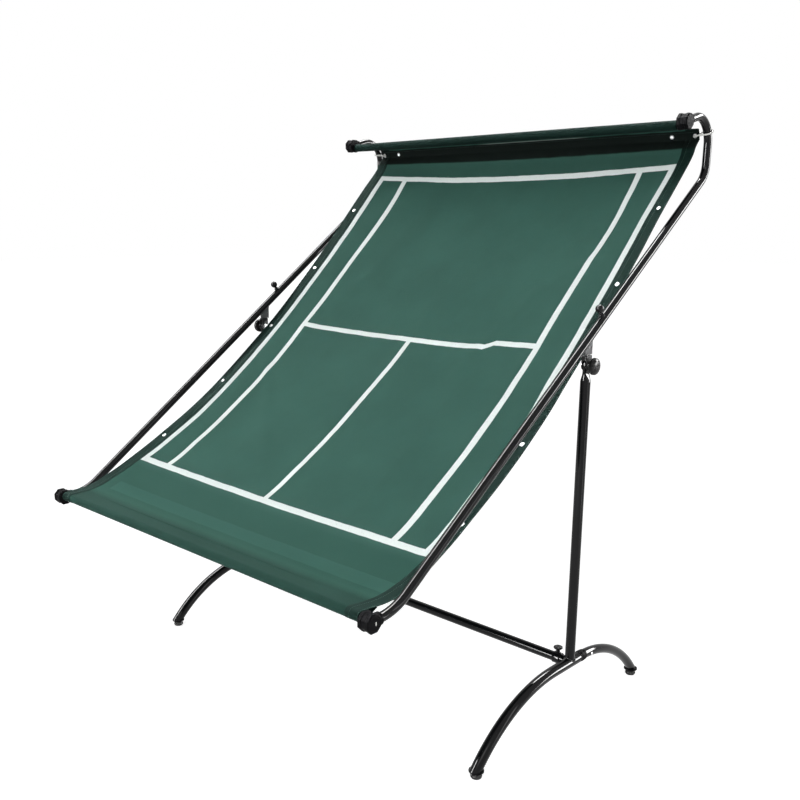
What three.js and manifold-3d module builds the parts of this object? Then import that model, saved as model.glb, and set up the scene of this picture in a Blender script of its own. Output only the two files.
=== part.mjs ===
// Tennis rebound net: a sloping sheet stretched between two side rails.
// The rails tilt on two posts with arched feet.
// Millimetres and degrees. +X is to the right, +Y to the back, +Z up. The floor is at the bottom of the pads.
// The base is built in that frame. The panel is built in its own frame, with the pivot at its origin,
// +Y along the straight part of the rails and +Z square to them, and is then tilted.
import * as THREE from "three";
import { mergeVertices } from "three/addons/utils/BufferGeometryUtils.js";
import Module from "manifold-3d";

const wasm = await Module();
wasm.setup();

// Overall layout
const sheetHalfWidth = 648;
const sheetCornerGap = 5; // from the sheet's side edge to a corner piece
const pivotHeight = 1030;
const panelAngle = 35.7; // slope of the straight rails above the floor
const rightAngle = 90;

// Gaps and small values that every piece shares
const fit = 0.3; // between pieces that touch
const runningGap = 0.5; // between pieces that turn or slide on each other
const overrun = 2; // how far a cut passes the face that it leaves
const bendError = 0.9; // between a bend and its straight facets
const nearMark = 0.5; // stations closer than this along a tube are one
const mergeTolerance = 0.0001;
const roundSides = 16;
const knobSides = 24;

// Arched feet
const baseTubeRadius = 16;
const baseTubeWall = 1.5;
const crestHeight = 173; // centre line of a foot where the post stands
const crestFront = 85; // level stretch in front of the post
const crestBack = 55; // level stretch behind the post
const frontBendRadius = 460;
const backBendRadius = 400;
const backTubeRadius = 14;
const backTubeWall = 1.4;
const frontTubeBack = 40; // the front tube ends this far behind the post's centre line
const collarRadius = 15.5;
const collarLength = 30;
const spigotReach = 60; // inside the back tube
const spigotWall = 1.5;
const shoulderLength = 6;
const cutTail = 45; // spare tube that the level cut at the floor end takes off

// Snap button of the foot joint
const buttonInset = 25; // from the mouth of the back tube
const buttonRadius = 4;
const buttonProud = 4;
const buttonTravel = 4;
const springLeafLength = 26;
const springLeafWidth = 7;
const springLeafThickness = 1;

// End caps and levelling pads
const flangeRadius = 20.5;
const flangeThickness = 5;
const plugLength = 25;
const padRadius = 15.5;
const padHeight = 17;
const padSoleRadius = 14;
const padWaistRadius = 11;
const padRimHeight = 8;
const studRadius = 4;
const studLength = 18; // above the pad

// Stretcher and its clamp knobs
const stubRadius = 12.2;
const stubLength = 70;
const stretcherRadius = 14;
const stretcherWall = 1.5;
const clampCollarRadius = 17;
const clampCollarLength = 24;
const clampCollarInset = 28; // from the side's centre plane to the collar's near end
const clampScrewRadius = 4;
const clampNeckRadius = 6;
const clampNeckHeight = 9;
const clampHeadRadius = 13.5;
const clampHeadHeight = 9;

// Posts, tilt brackets and pivot knobs
const postRadius = 14;
const postWall = 1.5;
const flattenStartDrop = 45; // from the pivot down to where the post starts to flatten
const flattenEndDrop = 18;
const tabHalfThickness = 5;
const tabHalfWidth = 12;
const flatTabCorner = 0.3; // exponent of the flattened section, 1 is an ellipse
const bracketHalfWidth = 13;
const bracketWall = 3;
const bracketRise = 28; // from the pivot to the bracket's top
const bracketWeb = 4;
const gussetThickness = 6;
const gussetBack = 22.5; // upright rear edge behind the pivot
const boltRadius = 4;
const boltHeadRadius = 7.5;
const boltHeadHeight = 4;
const boltReach = 16; // past the bracket, inside the knob
const hexSides = 6;
const knobRadius = 23;
const knobHubRadius = 11;
const knobHubLength = 8;
const knobLength = 26;
const knobEdge = 4;
const knobFaceRadius = 15;

// Side rails
const railRadius = 12;
const railWall = 1.5;
const railOffset = 55; // from the pivot to the rail's centre line
const toeCorner = 878; // along the rail from the pivot, down to the toe bend's corner
const toeReach = 76; // from that corner to the rail's end
const toeBend = panelAngle; // the toe lies level
const toeBendRadius = 150;
const kneeCorner = 788; // along the rail from the pivot, up to the knee's corner
const kneeBend = rightAngle - panelAngle; // the riser stands upright
const kneeRadius = 70;
const riserReach = 88.5; // from the knee's corner to the start of the hook
const hookRadius = 72;
const hookSweep = 104;
const hookReach = 67; // from the end of the hook to the rail's end
const railJoint = 103; // seam between lower and upper rail, along the rail from the pivot
const swageLength = 59; // drawn-in end of the lower rail, inside the upper rail
const swageWall = 1.4;
const ballKnobInset = 24; // from the seam
const ballRadius = 11.5;
const ballHeight = 33.5; // from the rail's centre line to the ball's centre
const ballStemRadius = 3;
const ballBossRadius = 8;
const ballBossHeight = 5;

// Crossbars and corner pieces
const crossbarRadius = 11;
const crossbarWall = 1.5;
const topBarOffset = 8; // from the rail's centre line to the bar's, inside the hook
const bottomBarOffset = 5.5; // above the toe's centre line
const cornerRadius = 24;
const cornerSides = 8;
const cornerThickness = 34;
const cornerBevel = 3;
const cornerSkin = 8; // closed wall outside the crossbar's end
const cornerNeckRadius = 15.5;
const cornerNeckReach = 31; // from the rail's end

// Sheet
const sheetThickness = 1.6;
const sleeveSlack = 0.8;
const foldRise = 133.5; // from the knee's corner up the riser to the sheet's top fold
const foldInset = 18; // in front of the riser's centre line
const foldRound = 7;
const bandRise = 103; // lower edge of the upright band under the fold
const creaseRise = 111.5; // top end of the line that the sag is measured from
const creaseInset = 8;
const crossSag = 48; // how much deeper the sheet's middle hangs than its sides, at most
const sheetColumns = 10;
const lipRows = 2;
const foldRows = 3;
// Share of the way from the crease to the bottom sleeve, the sides' sag there as a share of that distance,
// the middle's further sag as a share of the cross sag, and rows up to it
const sagShares = [
  [0.019, 0.0067, 0.24, 2],
  [0.0473, 0.0158, 0.56, 1],
  [0.147, 0.029, 1, 2],
  [0.3055, 0.0554, 0.73, 3],
  [0.47, 0.074, 0.58, 3],
  [0.633, 0.0765, 0.36, 3],
  [0.7996, 0.0625, 0.33, 3],
  [0.865, 0.054, 0.24, 1],
  [0.9165, 0.045, 0.16, 1],
  [0.96, 0.029, 0.08, 1],
];

// Eyelets and corner cords
const eyeletHole = 3.6;
const eyeletBarrel = 4.6;
const eyeletFlange = 6.8;
const eyeletLip = 0.8;
const eyeletSides = 10;
const eyeletInset = 13; // of the corner eyelets, from the sheet's side edge
const sideEyeletInset = 20;
const firstEyelet = 270; // along the sheet below the band
const eyeletPitch = 291;
const eyeletsPerSide = 5;
const bandEyeletShare = 0.5; // of the way down the band's flat part
const toeEyeletInset = 48; // from the bottom sleeve, along the sheet
const cordRadius = 2.4;
const cordGap = 1.2;
const cordKnotRadius = 5;
const cordSides = 8;
const cordSteps = 36;
const cordLift = 8; // of the cord above and below the sheet at the eyelet
const topCordReach = 35; // along the hook from its start

// Finishes
const glossBlack = { color: 0x0c0c0e, roughness: 0.25, metalness: 0.4 };
const mouldedBlack = { color: 0x141416, roughness: 0.55, metalness: 0 };
const satinGrey = { color: 0x4a4a4d, roughness: 0.4, metalness: 0.5 };
const bareSteel = { color: 0xb4b6b8, roughness: 0.3, metalness: 1 };
const rubberBlack = { color: 0x101010, roughness: 0.85, metalness: 0 };
const greenCloth = { color: 0x2c5044, roughness: 0.9, metalness: 0 };
const paleCord = { color: 0xe8e8e4, roughness: 0.8, metalness: 0 };

const half = 0.5;
const fullTurn = Math.PI * 2;
const quarterTurn = Math.PI / 2;
const radians = THREE.MathUtils.degToRad;
const halfSpan = sheetHalfWidth + sheetCornerGap + cornerThickness * half; // to the centre line of a side
const tilt = radians(panelAngle);

// Meshes, joins and cuts

function meshOf(name, finish, geometry) {
  const mesh = new THREE.Mesh(geometry, new THREE.MeshStandardMaterial(finish));
  mesh.name = name;
  return mesh;
}

function solidOf(geometry) {
  const bare = geometry.index ? geometry.toNonIndexed() : geometry.clone();
  bare.deleteAttribute("normal");
  bare.deleteAttribute("uv");
  const merged = mergeVertices(bare, mergeTolerance);
  const vertProperties = merged.attributes.position.array;
  const triVerts = new Uint32Array(merged.index.array);
  return new wasm.Manifold(new wasm.Mesh({ numProp: 3, vertProperties, triVerts }));
}

function geometryOf(solid) {
  const { vertProperties, triVerts } = solid.getMesh();
  const geometry = new THREE.BufferGeometry();
  geometry.setAttribute("position", new THREE.BufferAttribute(vertProperties, 3));
  geometry.setIndex(new THREE.BufferAttribute(triVerts, 1));
  const facets = geometry.toNonIndexed();
  facets.computeVertexNormals();
  return facets;
}

function join(...geometries) {
  return geometries.map(solidOf).reduce((whole, next) => whole.add(next));
}

function cut(whole, ...geometries) {
  return geometries.reduce((rest, next) => rest.subtract(solidOf(next)), whole);
}

// Rods, boxes, turned pieces and plates

function rodAlongX(radius, from, to, y, z, sides = roundSides) {
  const rod = new THREE.CylinderGeometry(radius, radius, to - from, sides);
  return rod.rotateZ(-quarterTurn).translate((from + to) * half, y, z);
}

function rodAlongZ(radius, from, to, x, y, sides = roundSides) {
  const rod = new THREE.CylinderGeometry(radius, radius, to - from, sides);
  return rod.rotateX(quarterTurn).translate(x, y, (from + to) * half);
}

function block(low, high) {
  const size = high.map((value, i) => value - low[i]);
  const centre = high.map((value, i) => (value + low[i]) * half);
  return new THREE.BoxGeometry(...size).translate(...centre);
}

// A turned piece standing along +Z, from pairs of radius and height.
function turned(profile, sides = knobSides) {
  const points = profile.map(([radius, height]) => new THREE.Vector2(radius, height));
  return new THREE.LatheGeometry(points, sides).rotateX(quarterTurn);
}

// A flat outline in the side plane, made thick along X about the given place.
function plate(outline, thickness, x, bevel = 0) {
  const flat = new THREE.ExtrudeGeometry(outline, {
    depth: thickness - bevel - bevel,
    steps: 1,
    curveSegments: roundSides * half,
    bevelEnabled: bevel > 0,
    bevelThickness: bevel,
    bevelSize: bevel,
    bevelOffset: -bevel,
    bevelSegments: 1,
  });
  const side = new THREE.Matrix4().makeBasis(
    new THREE.Vector3(0, 1, 0),
    new THREE.Vector3(0, 0, 1),
    new THREE.Vector3(1, 0, 0),
  );
  return flat.translate(0, 0, bevel - thickness * half).applyMatrix4(side).translate(x, 0, 0);
}

// Bent tubes

// A route in a side plane, made of straight runs and round bends. Its heading is measured from +Y towards +Z.
// Bends are kept as short straight facets, so that tubes along one route nest whatever part of it they take.
class Route {
  constructor(y, z, heading, moves) {
    this.facets = [{ mark: 0, y, z, heading }];
    for (const { run = 0, turn = 0, radius = 0 } of moves) {
      const start = this.facets.at(-1);
      if (turn) this.addBend(start, radians(turn), radius);
      else this.facets.push(Route.ahead(start, run));
    }
    this.length = this.facets.at(-1).mark;
  }

  static ahead({ mark, y, z, heading }, run) {
    return { mark: mark + run, y: y + run * Math.cos(heading), z: z + run * Math.sin(heading), heading };
  }

  addBend({ mark, y, z, heading }, angle, radius) {
    const parts = Math.ceil(Math.abs(angle) / (2 * Math.acos(1 - bendError / radius)));
    const signed = radius * Math.sign(angle);
    for (let i = 1; i <= parts; i++) {
      const turned = heading + (angle * i) / parts;
      this.facets.push({
        mark: mark + (radius * Math.abs(angle) * i) / parts,
        y: y + signed * (Math.sin(turned) - Math.sin(heading)),
        z: z - signed * (Math.cos(turned) - Math.cos(heading)),
        heading: turned,
      });
    }
  }

  at(mark) {
    const next = Math.max(this.facets.findIndex((facet) => facet.mark >= mark), 1);
    const [from, to] = [this.facets[next - 1], this.facets[next]];
    const share = (mark - from.mark) / (to.mark - from.mark);
    return mixed(from, to, share);
  }

  stations(from, to) {
    const between = this.facets.filter(({ mark }) => mark > from + nearMark && mark < to - nearMark);
    return [this.at(from), ...between, this.at(to)];
  }
}

function mixed(from, to, share) {
  const mix = (key) => THREE.MathUtils.lerp(from[key], to[key], share);
  return { mark: mix("mark"), y: mix("y"), z: mix("z"), heading: mix("heading") };
}

// Lets an extrusion step from station to station of a route, square to it at each.
class RouteCurve extends THREE.Curve {
  constructor(stations, x) {
    super();
    this.stations = stations;
    this.x = x;
  }

  blendAt(share) {
    const place = share * (this.stations.length - 1);
    const first = Math.min(Math.floor(place), this.stations.length - 2);
    return mixed(this.stations[first], this.stations[first + 1], place - first);
  }

  getPoint(share, target = new THREE.Vector3()) {
    const { y, z } = this.blendAt(share);
    return target.set(this.x, y, z);
  }

  getPointAt(share, target) {
    return this.getPoint(share, target);
  }

  getTangentAt(share, target = new THREE.Vector3()) {
    const { heading } = this.blendAt(share);
    return target.set(0, Math.cos(heading), Math.sin(heading));
  }
}

function tube(route, from, to, outer, inner, x) {
  const stations = route.stations(from, to);
  const ring = new THREE.Shape().absarc(0, 0, outer, 0, fullTurn);
  if (inner) ring.holes.push(new THREE.Path().absarc(0, 0, inner, 0, fullTurn, true));
  return new THREE.ExtrudeGeometry(ring, {
    steps: stations.length - 1,
    curveSegments: roundSides * half,
    extrudePath: new RouteCurve(stations, x),
  });
}

function straightRoute(y, z, heading, length) {
  return new Route(y, z, heading, [{ run: length }]);
}

// Feet

const padTop = padHeight + fit;
const flangeTop = padTop + flangeThickness;
const footTubeEnd = flangeTop + fit;
const footDrop = crestHeight - footTubeEnd;
const frontSweep = THREE.MathUtils.radToDeg(Math.acos(1 - footDrop / frontBendRadius));
const backSweep = THREE.MathUtils.radToDeg(Math.acos(1 - footDrop / backBendRadius));
const frontEndY = -crestFront - frontBendRadius * Math.sin(radians(frontSweep));
const backEndY = crestBack + backBendRadius * Math.sin(radians(backSweep));
const footRoute = new Route(
  frontEndY - cutTail * Math.cos(radians(frontSweep)),
  footTubeEnd - cutTail * Math.sin(radians(frontSweep)),
  radians(frontSweep),
  [
    { run: cutTail },
    { turn: -frontSweep, radius: frontBendRadius },
    { run: crestFront + crestBack },
    { turn: -backSweep, radius: backBendRadius },
    { run: cutTail },
  ],
);
const postMark = cutTail + radians(frontSweep) * frontBendRadius + crestFront;
const frontTubeMark = postMark + frontTubeBack;
const collarMark = frontTubeMark + fit;
const backTubeMark = collarMark + collarLength + fit;
const spigotMark = backTubeMark + spigotReach;
const buttonMark = backTubeMark + buttonInset;
const spigotRadius = backTubeRadius - backTubeWall - fit;
const spigotBore = spigotRadius - spigotWall;

// Everything under the level cut at the floor end of a foot.
function belowFloorCut(top) {
  const reach = flangeRadius + cutTail + cutTail;
  const low = [halfSpan - reach, frontEndY - reach, -reach];
  const high = [halfSpan + reach, backEndY + reach, top];
  return block(low, high);
}

function footFrontArch() {
  const bore = baseTubeRadius - baseTubeWall;
  const stubTip = halfSpan - baseTubeRadius - stubLength;
  const tubes = join(
    tube(footRoute, 0, frontTubeMark, baseTubeRadius, bore, halfSpan),
    tube(footRoute, frontTubeMark - shoulderLength, frontTubeMark, baseTubeRadius, spigotBore, halfSpan),
    tube(footRoute, frontTubeMark - shoulderLength * half, spigotMark, spigotRadius, spigotBore, halfSpan),
    rodAlongX(stubRadius, stubTip, halfSpan - baseTubeRadius * half, 0, crestHeight),
  );
  const button = footRoute.at(buttonMark);
  const hole = rodAlongX(buttonRadius + runningGap, halfSpan, halfSpan + baseTubeRadius, button.y, button.z);
  return geometryOf(cut(tubes, belowFloorCut(footTubeEnd), hole));
}

function jointCollar() {
  const end = collarMark + collarLength;
  return tube(footRoute, collarMark, end, collarRadius, spigotRadius + runningGap, halfSpan);
}

function footBackArch() {
  const bore = backTubeRadius - backTubeWall;
  const whole = join(tube(footRoute, backTubeMark, footRoute.length, backTubeRadius, bore, halfSpan));
  const button = footRoute.at(buttonMark);
  const hole = rodAlongX(buttonRadius + runningGap, halfSpan, halfSpan + baseTubeRadius, button.y, button.z);
  return geometryOf(cut(whole, belowFloorCut(footTubeEnd), hole));
}

// The button rides on a leaf inside the spigot and stands out through both tubes.
function snapButton() {
  const { y, z, heading } = footRoute.at(buttonMark);
  const rodLength = springLeafThickness + overrun;
  const leafX = spigotBore * half + rodLength;
  const tip = backTubeRadius + buttonProud;
  const dome = buttonProud * half;
  const rod = turned([
    [0, leafX - springLeafThickness],
    [buttonRadius, leafX - springLeafThickness],
    [buttonRadius, tip - dome],
    [buttonRadius * half, tip],
    [0, tip],
  ], roundSides).rotateY(quarterTurn);
  const leafLow = [leafX - springLeafThickness, -springLeafLength * half, -springLeafWidth * half];
  const leafHigh = [leafX, springLeafLength * half, springLeafWidth * half];
  const leaf = block(leafLow, leafHigh);
  return geometryOf(join(rod, leaf)).rotateX(heading).translate(halfSpan, y, z);
}

function footCap(front) {
  const mark = front ? cutTail : footRoute.length - cutTail;
  const bore = front ? baseTubeRadius - baseTubeWall : backTubeRadius - backTubeWall;
  const from = front ? 0 : mark - plugLength;
  const to = front ? mark + plugLength : footRoute.length;
  const y = front ? frontEndY : backEndY;
  const whole = join(tube(footRoute, from, to, bore - fit, 0, halfSpan));
  const plug = cut(whole, belowFloorCut(padTop + flangeThickness * half));
  const flange = rodAlongZ(flangeRadius, padTop, flangeTop, halfSpan, y, knobSides);
  const holeTop = footTubeEnd + plugLength + baseTubeRadius;
  const hole = rodAlongZ(studRadius + fit, padTop - overrun, holeTop, halfSpan, y);
  return geometryOf(cut(plug.add(solidOf(flange)), hole));
}

function footPad(front) {
  const rim = padRimHeight * half;
  const pad = turned([
    [0, 0],
    [padSoleRadius, 0],
    [padRadius, rim],
    [padRadius, padRimHeight],
    [padWaistRadius, padHeight],
    [studRadius, padHeight],
    [studRadius, padHeight + studLength],
    [0, padHeight + studLength],
  ], roundSides);
  return pad.translate(halfSpan, front ? frontEndY : backEndY, 0);
}

// Stretcher

const stretcherEnd = halfSpan - baseTubeRadius - fit;
const clampX = halfSpan - clampCollarInset - clampCollarLength * half;
const clampSeat = crestHeight + clampCollarRadius + fit;
const clampTip = crestHeight + stubRadius + fit;

function stretcher() {
  const pieces = [rodAlongX(stretcherRadius, -stretcherEnd, stretcherEnd, 0, crestHeight)];
  const cuts = [];
  const bore = stretcherRadius - stretcherWall;
  cuts.push(rodAlongX(bore, -stretcherEnd - overrun, stretcherEnd + overrun, 0, crestHeight));
  for (const side of [-1, 1]) {
    const near = side * (clampX - clampCollarLength * half);
    const far = side * (clampX + clampCollarLength * half);
    const ends = [Math.min(near, far), Math.max(near, far)];
    pieces.push(rodAlongX(clampCollarRadius, ...ends, 0, crestHeight));
    const top = clampSeat + overrun;
    cuts.push(rodAlongZ(clampScrewRadius + fit, crestHeight, top, side * clampX, 0));
  }
  return geometryOf(cut(join(...pieces), ...cuts));
}

function stretcherKnob() {
  const waist = clampSeat + clampNeckHeight;
  const crown = waist + clampHeadHeight;
  return turned([
    [0, clampTip],
    [clampScrewRadius, clampTip],
    [clampScrewRadius, clampSeat],
    [clampNeckRadius, clampSeat],
    [clampNeckRadius, waist],
    [clampHeadRadius, waist + clampHeadHeight * half],
    [clampHeadRadius, crown - clampHeadHeight * half * half],
    [clampHeadRadius - clampNeckRadius * half, crown],
    [0, crown],
  ]).translate(clampX, 0, 0);
}

// Posts, tilt brackets and pivot knobs

const flattenStart = pivotHeight - flattenStartDrop;
const flattenEnd = pivotHeight - flattenEndDrop;
const bracketHalfThickness = tabHalfThickness + runningGap + bracketWall;

// Ring of points of a tube that is flattened by a share from round to flat.
function flattenedRing(share, height) {
  const halfX = THREE.MathUtils.lerp(postRadius, tabHalfThickness, share);
  const halfY = THREE.MathUtils.lerp(postRadius, tabHalfWidth, share);
  const corner = THREE.MathUtils.lerp(1, flatTabCorner, share);
  return Array.from({ length: roundSides }, (_, i) => {
    const angle = (fullTurn * i) / roundSides;
    const [c, s] = [Math.cos(angle), Math.sin(angle)];
    const x = halfX * Math.sign(c) * Math.abs(c) ** corner;
    const y = halfY * Math.sign(s) * Math.abs(s) ** corner;
    return [x, y, height];
  });
}

// A closed solid through rings with the same number of points, from the lowest to the highest.
function loft(rings) {
  const count = rings[0].length;
  const middle = (ring) => ring.reduce((sum, p) => sum.map((v, i) => v + p[i] / count), [0, 0, 0]);
  const points = [...rings.flat(), middle(rings[0]), middle(rings.at(-1))];
  const faces = [];
  const [bottom, top] = [points.length - 2, points.length - 1];
  const last = (rings.length - 1) * count;
  for (let i = 0; i < count; i++) {
    const next = (i + 1) % count;
    faces.push([bottom, next, i], [top, last + i, last + next]);
    for (let row = 0; row < last; row += count) {
      faces.push([row + i, row + next, row + count + next], [row + i, row + count + next, row + count + i]);
    }
  }
  return indexed(points, faces);
}

function indexed(points, faces) {
  const geometry = new THREE.BufferGeometry();
  geometry.setAttribute("position", new THREE.Float32BufferAttribute(points.flat(), 3));
  geometry.setIndex(faces.flat());
  return geometry;
}

function post() {
  const upright = straightRoute(0, crestHeight, quarterTurn, flattenStart + overrun - crestHeight);
  const round = tube(upright, 0, upright.length, postRadius, postRadius - postWall, 0);
  const flat = loft([
    flattenedRing(0, flattenStart),
    flattenedRing(half, (flattenStart + flattenEnd) * half),
    flattenedRing(1, flattenEnd),
    flattenedRing(1, pivotHeight),
  ]);
  const tip = rodAlongX(tabHalfWidth, -tabHalfThickness, tabHalfThickness, 0, pivotHeight, knobSides);
  const saddle = tube(footRoute, cutTail, frontTubeMark, baseTubeRadius + fit, 0, 0);
  const stub = rodAlongX(stubRadius + fit, -stubLength, 0, 0, crestHeight);
  const hole = rodAlongX(boltRadius + fit, -postRadius, postRadius, 0, pivotHeight);
  return geometryOf(cut(join(round, flat, tip), saddle, stub, hole)).translate(halfSpan, 0, 0);
}

// Brings a panel piece that is drawn as it stands at rest into the panel's frame.
function fromRest(geometry) {
  return geometry.rotateX(-tilt).translate(halfSpan, 0, 0);
}

// An inverted U that straddles the flattened end of the post.
function tiltBracket() {
  const outline = new THREE.Shape();
  outline.moveTo(-bracketHalfWidth, bracketRise);
  outline.absarc(0, 0, bracketHalfWidth, Math.PI, fullTurn);
  outline.lineTo(bracketHalfWidth, bracketRise);
  outline.closePath();
  const body = join(plate(outline, bracketHalfThickness + bracketHalfThickness, 0));
  const slotX = tabHalfThickness + runningGap;
  const slotEnd = bracketHalfWidth + overrun;
  const slot = block([-slotX, -slotEnd, -slotEnd], [slotX, slotEnd, bracketRise - bracketWeb]);
  const reach = bracketHalfThickness + overrun;
  const hole = rodAlongX(boltRadius + fit, -reach, reach, 0, 0);
  return fromRest(geometryOf(cut(body, slot, hole)));
}

function pivotBolt() {
  const headTop = -bracketHalfThickness - fit;
  const tip = bracketHalfThickness + boltReach;
  const shank = rodAlongX(boltRadius, headTop - boltHeadHeight * half, tip, 0, 0);
  const head = rodAlongX(boltHeadRadius, headTop - boltHeadHeight, headTop, 0, 0, hexSides);
  return geometryOf(join(shank, head)).translate(halfSpan, 0, pivotHeight);
}

function pivotKnob() {
  const boreEnd = boltReach + runningGap;
  const bore = boltRadius + fit;
  return turned([
    [bore, 0],
    [knobHubRadius, 0],
    [knobHubRadius, knobHubLength],
    [knobRadius, knobHubLength + knobEdge],
    [knobRadius, knobLength - knobEdge - knobEdge],
    [knobRadius - knobEdge, knobLength - knobEdge],
    [knobFaceRadius, knobLength],
    [0, knobLength],
    [0, boreEnd],
    [bore, boreEnd],
    [bore, 0],
  ]).rotateY(quarterTurn).translate(halfSpan + bracketHalfThickness + fit, 0, pivotHeight);
}

// Side rails, in the panel's frame

const toeTangent = toeBendRadius * Math.tan(radians(toeBend * half));
const kneeTangent = kneeRadius * Math.tan(radians(kneeBend * half));
const toeHeading = -radians(toeBend);
const riserHeading = radians(kneeBend);
const railRoute = new Route(
  -toeCorner - toeReach * Math.cos(toeHeading),
  railOffset - toeReach * Math.sin(toeHeading),
  toeHeading,
  [
    { run: toeReach - toeTangent },
    { turn: toeBend, radius: toeBendRadius },
    { run: toeCorner + kneeCorner - toeTangent - kneeTangent },
    { turn: kneeBend, radius: kneeRadius },
    { run: riserReach - kneeTangent },
    { turn: hookSweep, radius: hookRadius },
    { run: hookReach },
  ],
);
const bottomTip = railRoute.at(0);
const topTip = railRoute.at(railRoute.length);
const bottomBar = beside(bottomTip, bottomBarOffset);
const topBar = beside(topTip, topBarOffset);
const straightMark = toeReach - toeTangent + radians(toeBend) * toeBendRadius - toeTangent + toeCorner;
const jointMark = straightMark + railJoint;
const kneeMark = straightMark + kneeCorner - kneeTangent;
const hookMark = kneeMark + radians(kneeBend) * kneeRadius + riserReach - kneeTangent;
const railEndGap = crossbarRadius + fit + overrun;
const swageRadius = railRadius - railWall - fit;
const ballKnobY = railJoint + ballKnobInset;
const ballBossTop = railOffset + railRadius + ballBossHeight;

// A place to the left of a route's heading.
function beside({ y, z, heading }, offset) {
  return { y: y - offset * Math.sin(heading), z: z + offset * Math.cos(heading), heading };
}

function lowerRail() {
  const swageBore = swageRadius - swageWall;
  const shoulder = jointMark - shoulderLength;
  const neck = jointMark - shoulderLength * half;
  return geometryOf(join(
    tube(railRoute, railEndGap, jointMark, railRadius, railRadius - railWall, halfSpan),
    tube(railRoute, shoulder, jointMark, railRadius, swageBore, halfSpan),
    tube(railRoute, neck, jointMark + swageLength, swageRadius, swageBore, halfSpan),
  ));
}

function upperRail() {
  const end = railRoute.length - railEndGap;
  const whole = join(
    tube(railRoute, jointMark + fit, end, railRadius, railRadius - railWall, halfSpan),
    rodAlongZ(ballBossRadius, railOffset + ballBossRadius, ballBossTop, halfSpan, ballKnobY),
  );
  const bore = tube(railRoute, jointMark, jointMark + swageLength, railRadius - railWall, 0, halfSpan);
  const hole = rodAlongZ(ballStemRadius + fit, railOffset, ballBossTop + overrun, halfSpan, ballKnobY);
  return geometryOf(cut(whole, bore, hole));
}

function ballKnob() {
  const bottom = railOffset + swageRadius + fit;
  const centre = railOffset + ballHeight;
  const sector = quarterTurn * half * half;
  const ball = Array.from({ length: 8 }, (_, i) => {
    const angle = sector * (i - 3);
    return [ballRadius * Math.cos(angle), centre + ballRadius * Math.sin(angle)];
  });
  return turned([
    [0, bottom],
    [ballStemRadius, bottom],
    [ballStemRadius, centre - ballRadius],
    ...ball.slice(0, -1),
    [0, centre + ballRadius],
  ], roundSides).translate(halfSpan, ballKnobY, 0);
}

// A plate that joins the bracket's top to the underside of the rail.
function gussetPlate() {
  const bottom = bracketRise + fit;
  const railHeight = (y) => (railOffset + y * Math.sin(tilt)) / Math.cos(tilt);
  const outline = new THREE.Shape();
  outline.moveTo(-bracketHalfWidth, bottom);
  outline.lineTo(gussetBack, bottom);
  outline.lineTo(gussetBack, railHeight(gussetBack));
  outline.lineTo(-bracketHalfWidth, railHeight(-bracketHalfWidth));
  outline.closePath();
  const whole = join(fromRest(plate(outline, gussetThickness, 0)));
  const rail = straightRoute(-toeCorner, railOffset, 0, toeCorner + kneeCorner);
  const seat = tube(rail, toeCorner - railOffset, toeCorner + railOffset * 2, railRadius + fit, 0, halfSpan);
  return geometryOf(cut(whole, seat));
}

// Crossbars and corner pieces

function crossbar(bar) {
  const end = halfSpan + cornerThickness * half - cornerSkin - fit;
  const whole = join(rodAlongX(crossbarRadius, -end, end, bar.y, bar.z));
  const bore = rodAlongX(crossbarRadius - crossbarWall, -end - overrun, end + overrun, bar.y, bar.z);
  return geometryOf(cut(whole, bore));
}

function cornerPiece(top) {
  const bar = top ? topBar : bottomBar;
  const tip = top ? topTip : bottomTip;
  const outline = new THREE.Shape();
  for (let i = 0; i < cornerSides; i++) {
    const angle = (fullTurn * (i + half)) / cornerSides - tilt;
    const point = [cornerRadius * Math.cos(angle), cornerRadius * Math.sin(angle)];
    if (i) outline.lineTo(...point);
    else outline.moveTo(...point);
  }
  outline.closePath();
  const nut = plate(outline, cornerThickness, halfSpan, cornerBevel).translate(0, tip.y, tip.z);
  const neckEnds = top
    ? [railRoute.length - cornerNeckReach, railRoute.length]
    : [0, cornerNeckReach];
  const socketEnds = top
    ? [railRoute.length - cornerNeckReach - overrun, railRoute.length - railEndGap + fit]
    : [railEndGap - fit, cornerNeckReach + overrun];
  const neck = tube(railRoute, ...neckEnds, cornerNeckRadius, 0, halfSpan);
  const socket = tube(railRoute, ...socketEnds, railRadius + fit, 0, halfSpan);
  const inside = halfSpan - cornerThickness * half - overrun;
  const floor = halfSpan + cornerThickness * half - cornerSkin;
  const bore = rodAlongX(crossbarRadius + fit, inside, floor, bar.y, bar.z);
  return geometryOf(cut(join(nut, neck), bore, socket));
}

// Sheet, in the panel's frame. Its profile runs from the top sleeve over the lip to the bottom sleeve.

const sleeveMiddle = crossbarRadius + sleeveSlack + sheetThickness * half;
const riser = new THREE.Vector2(Math.cos(riserHeading), Math.sin(riserHeading));
const forward = new THREE.Vector2(-riser.y, riser.x);
const crease = offRiser(creaseRise, creaseInset);
const fold = offRiser(foldRise, foldInset);
const bandFoot = offRiser(bandRise, creaseInset);
const topCentre = new THREE.Vector2(topBar.y, topBar.z);
const bottomCentre = new THREE.Vector2(bottomBar.y, bottomBar.z);

// A place in the side plane by its height up the riser and its distance in front of it.
function offRiser(rise, inset) {
  const knee = new THREE.Vector2(kneeCorner, railOffset);
  return knee.addScaledVector(riser, rise).addScaledVector(forward, inset);
}

// Where a line from a point touches a sleeve, on the side given by the sign.
function touchSleeve(centre, point, side) {
  const away = point.clone().sub(centre);
  const angle = away.angle() + side * Math.acos(sleeveMiddle / away.length());
  return centre.clone().add(new THREE.Vector2(Math.cos(angle), Math.sin(angle)).multiplyScalar(sleeveMiddle));
}

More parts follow.
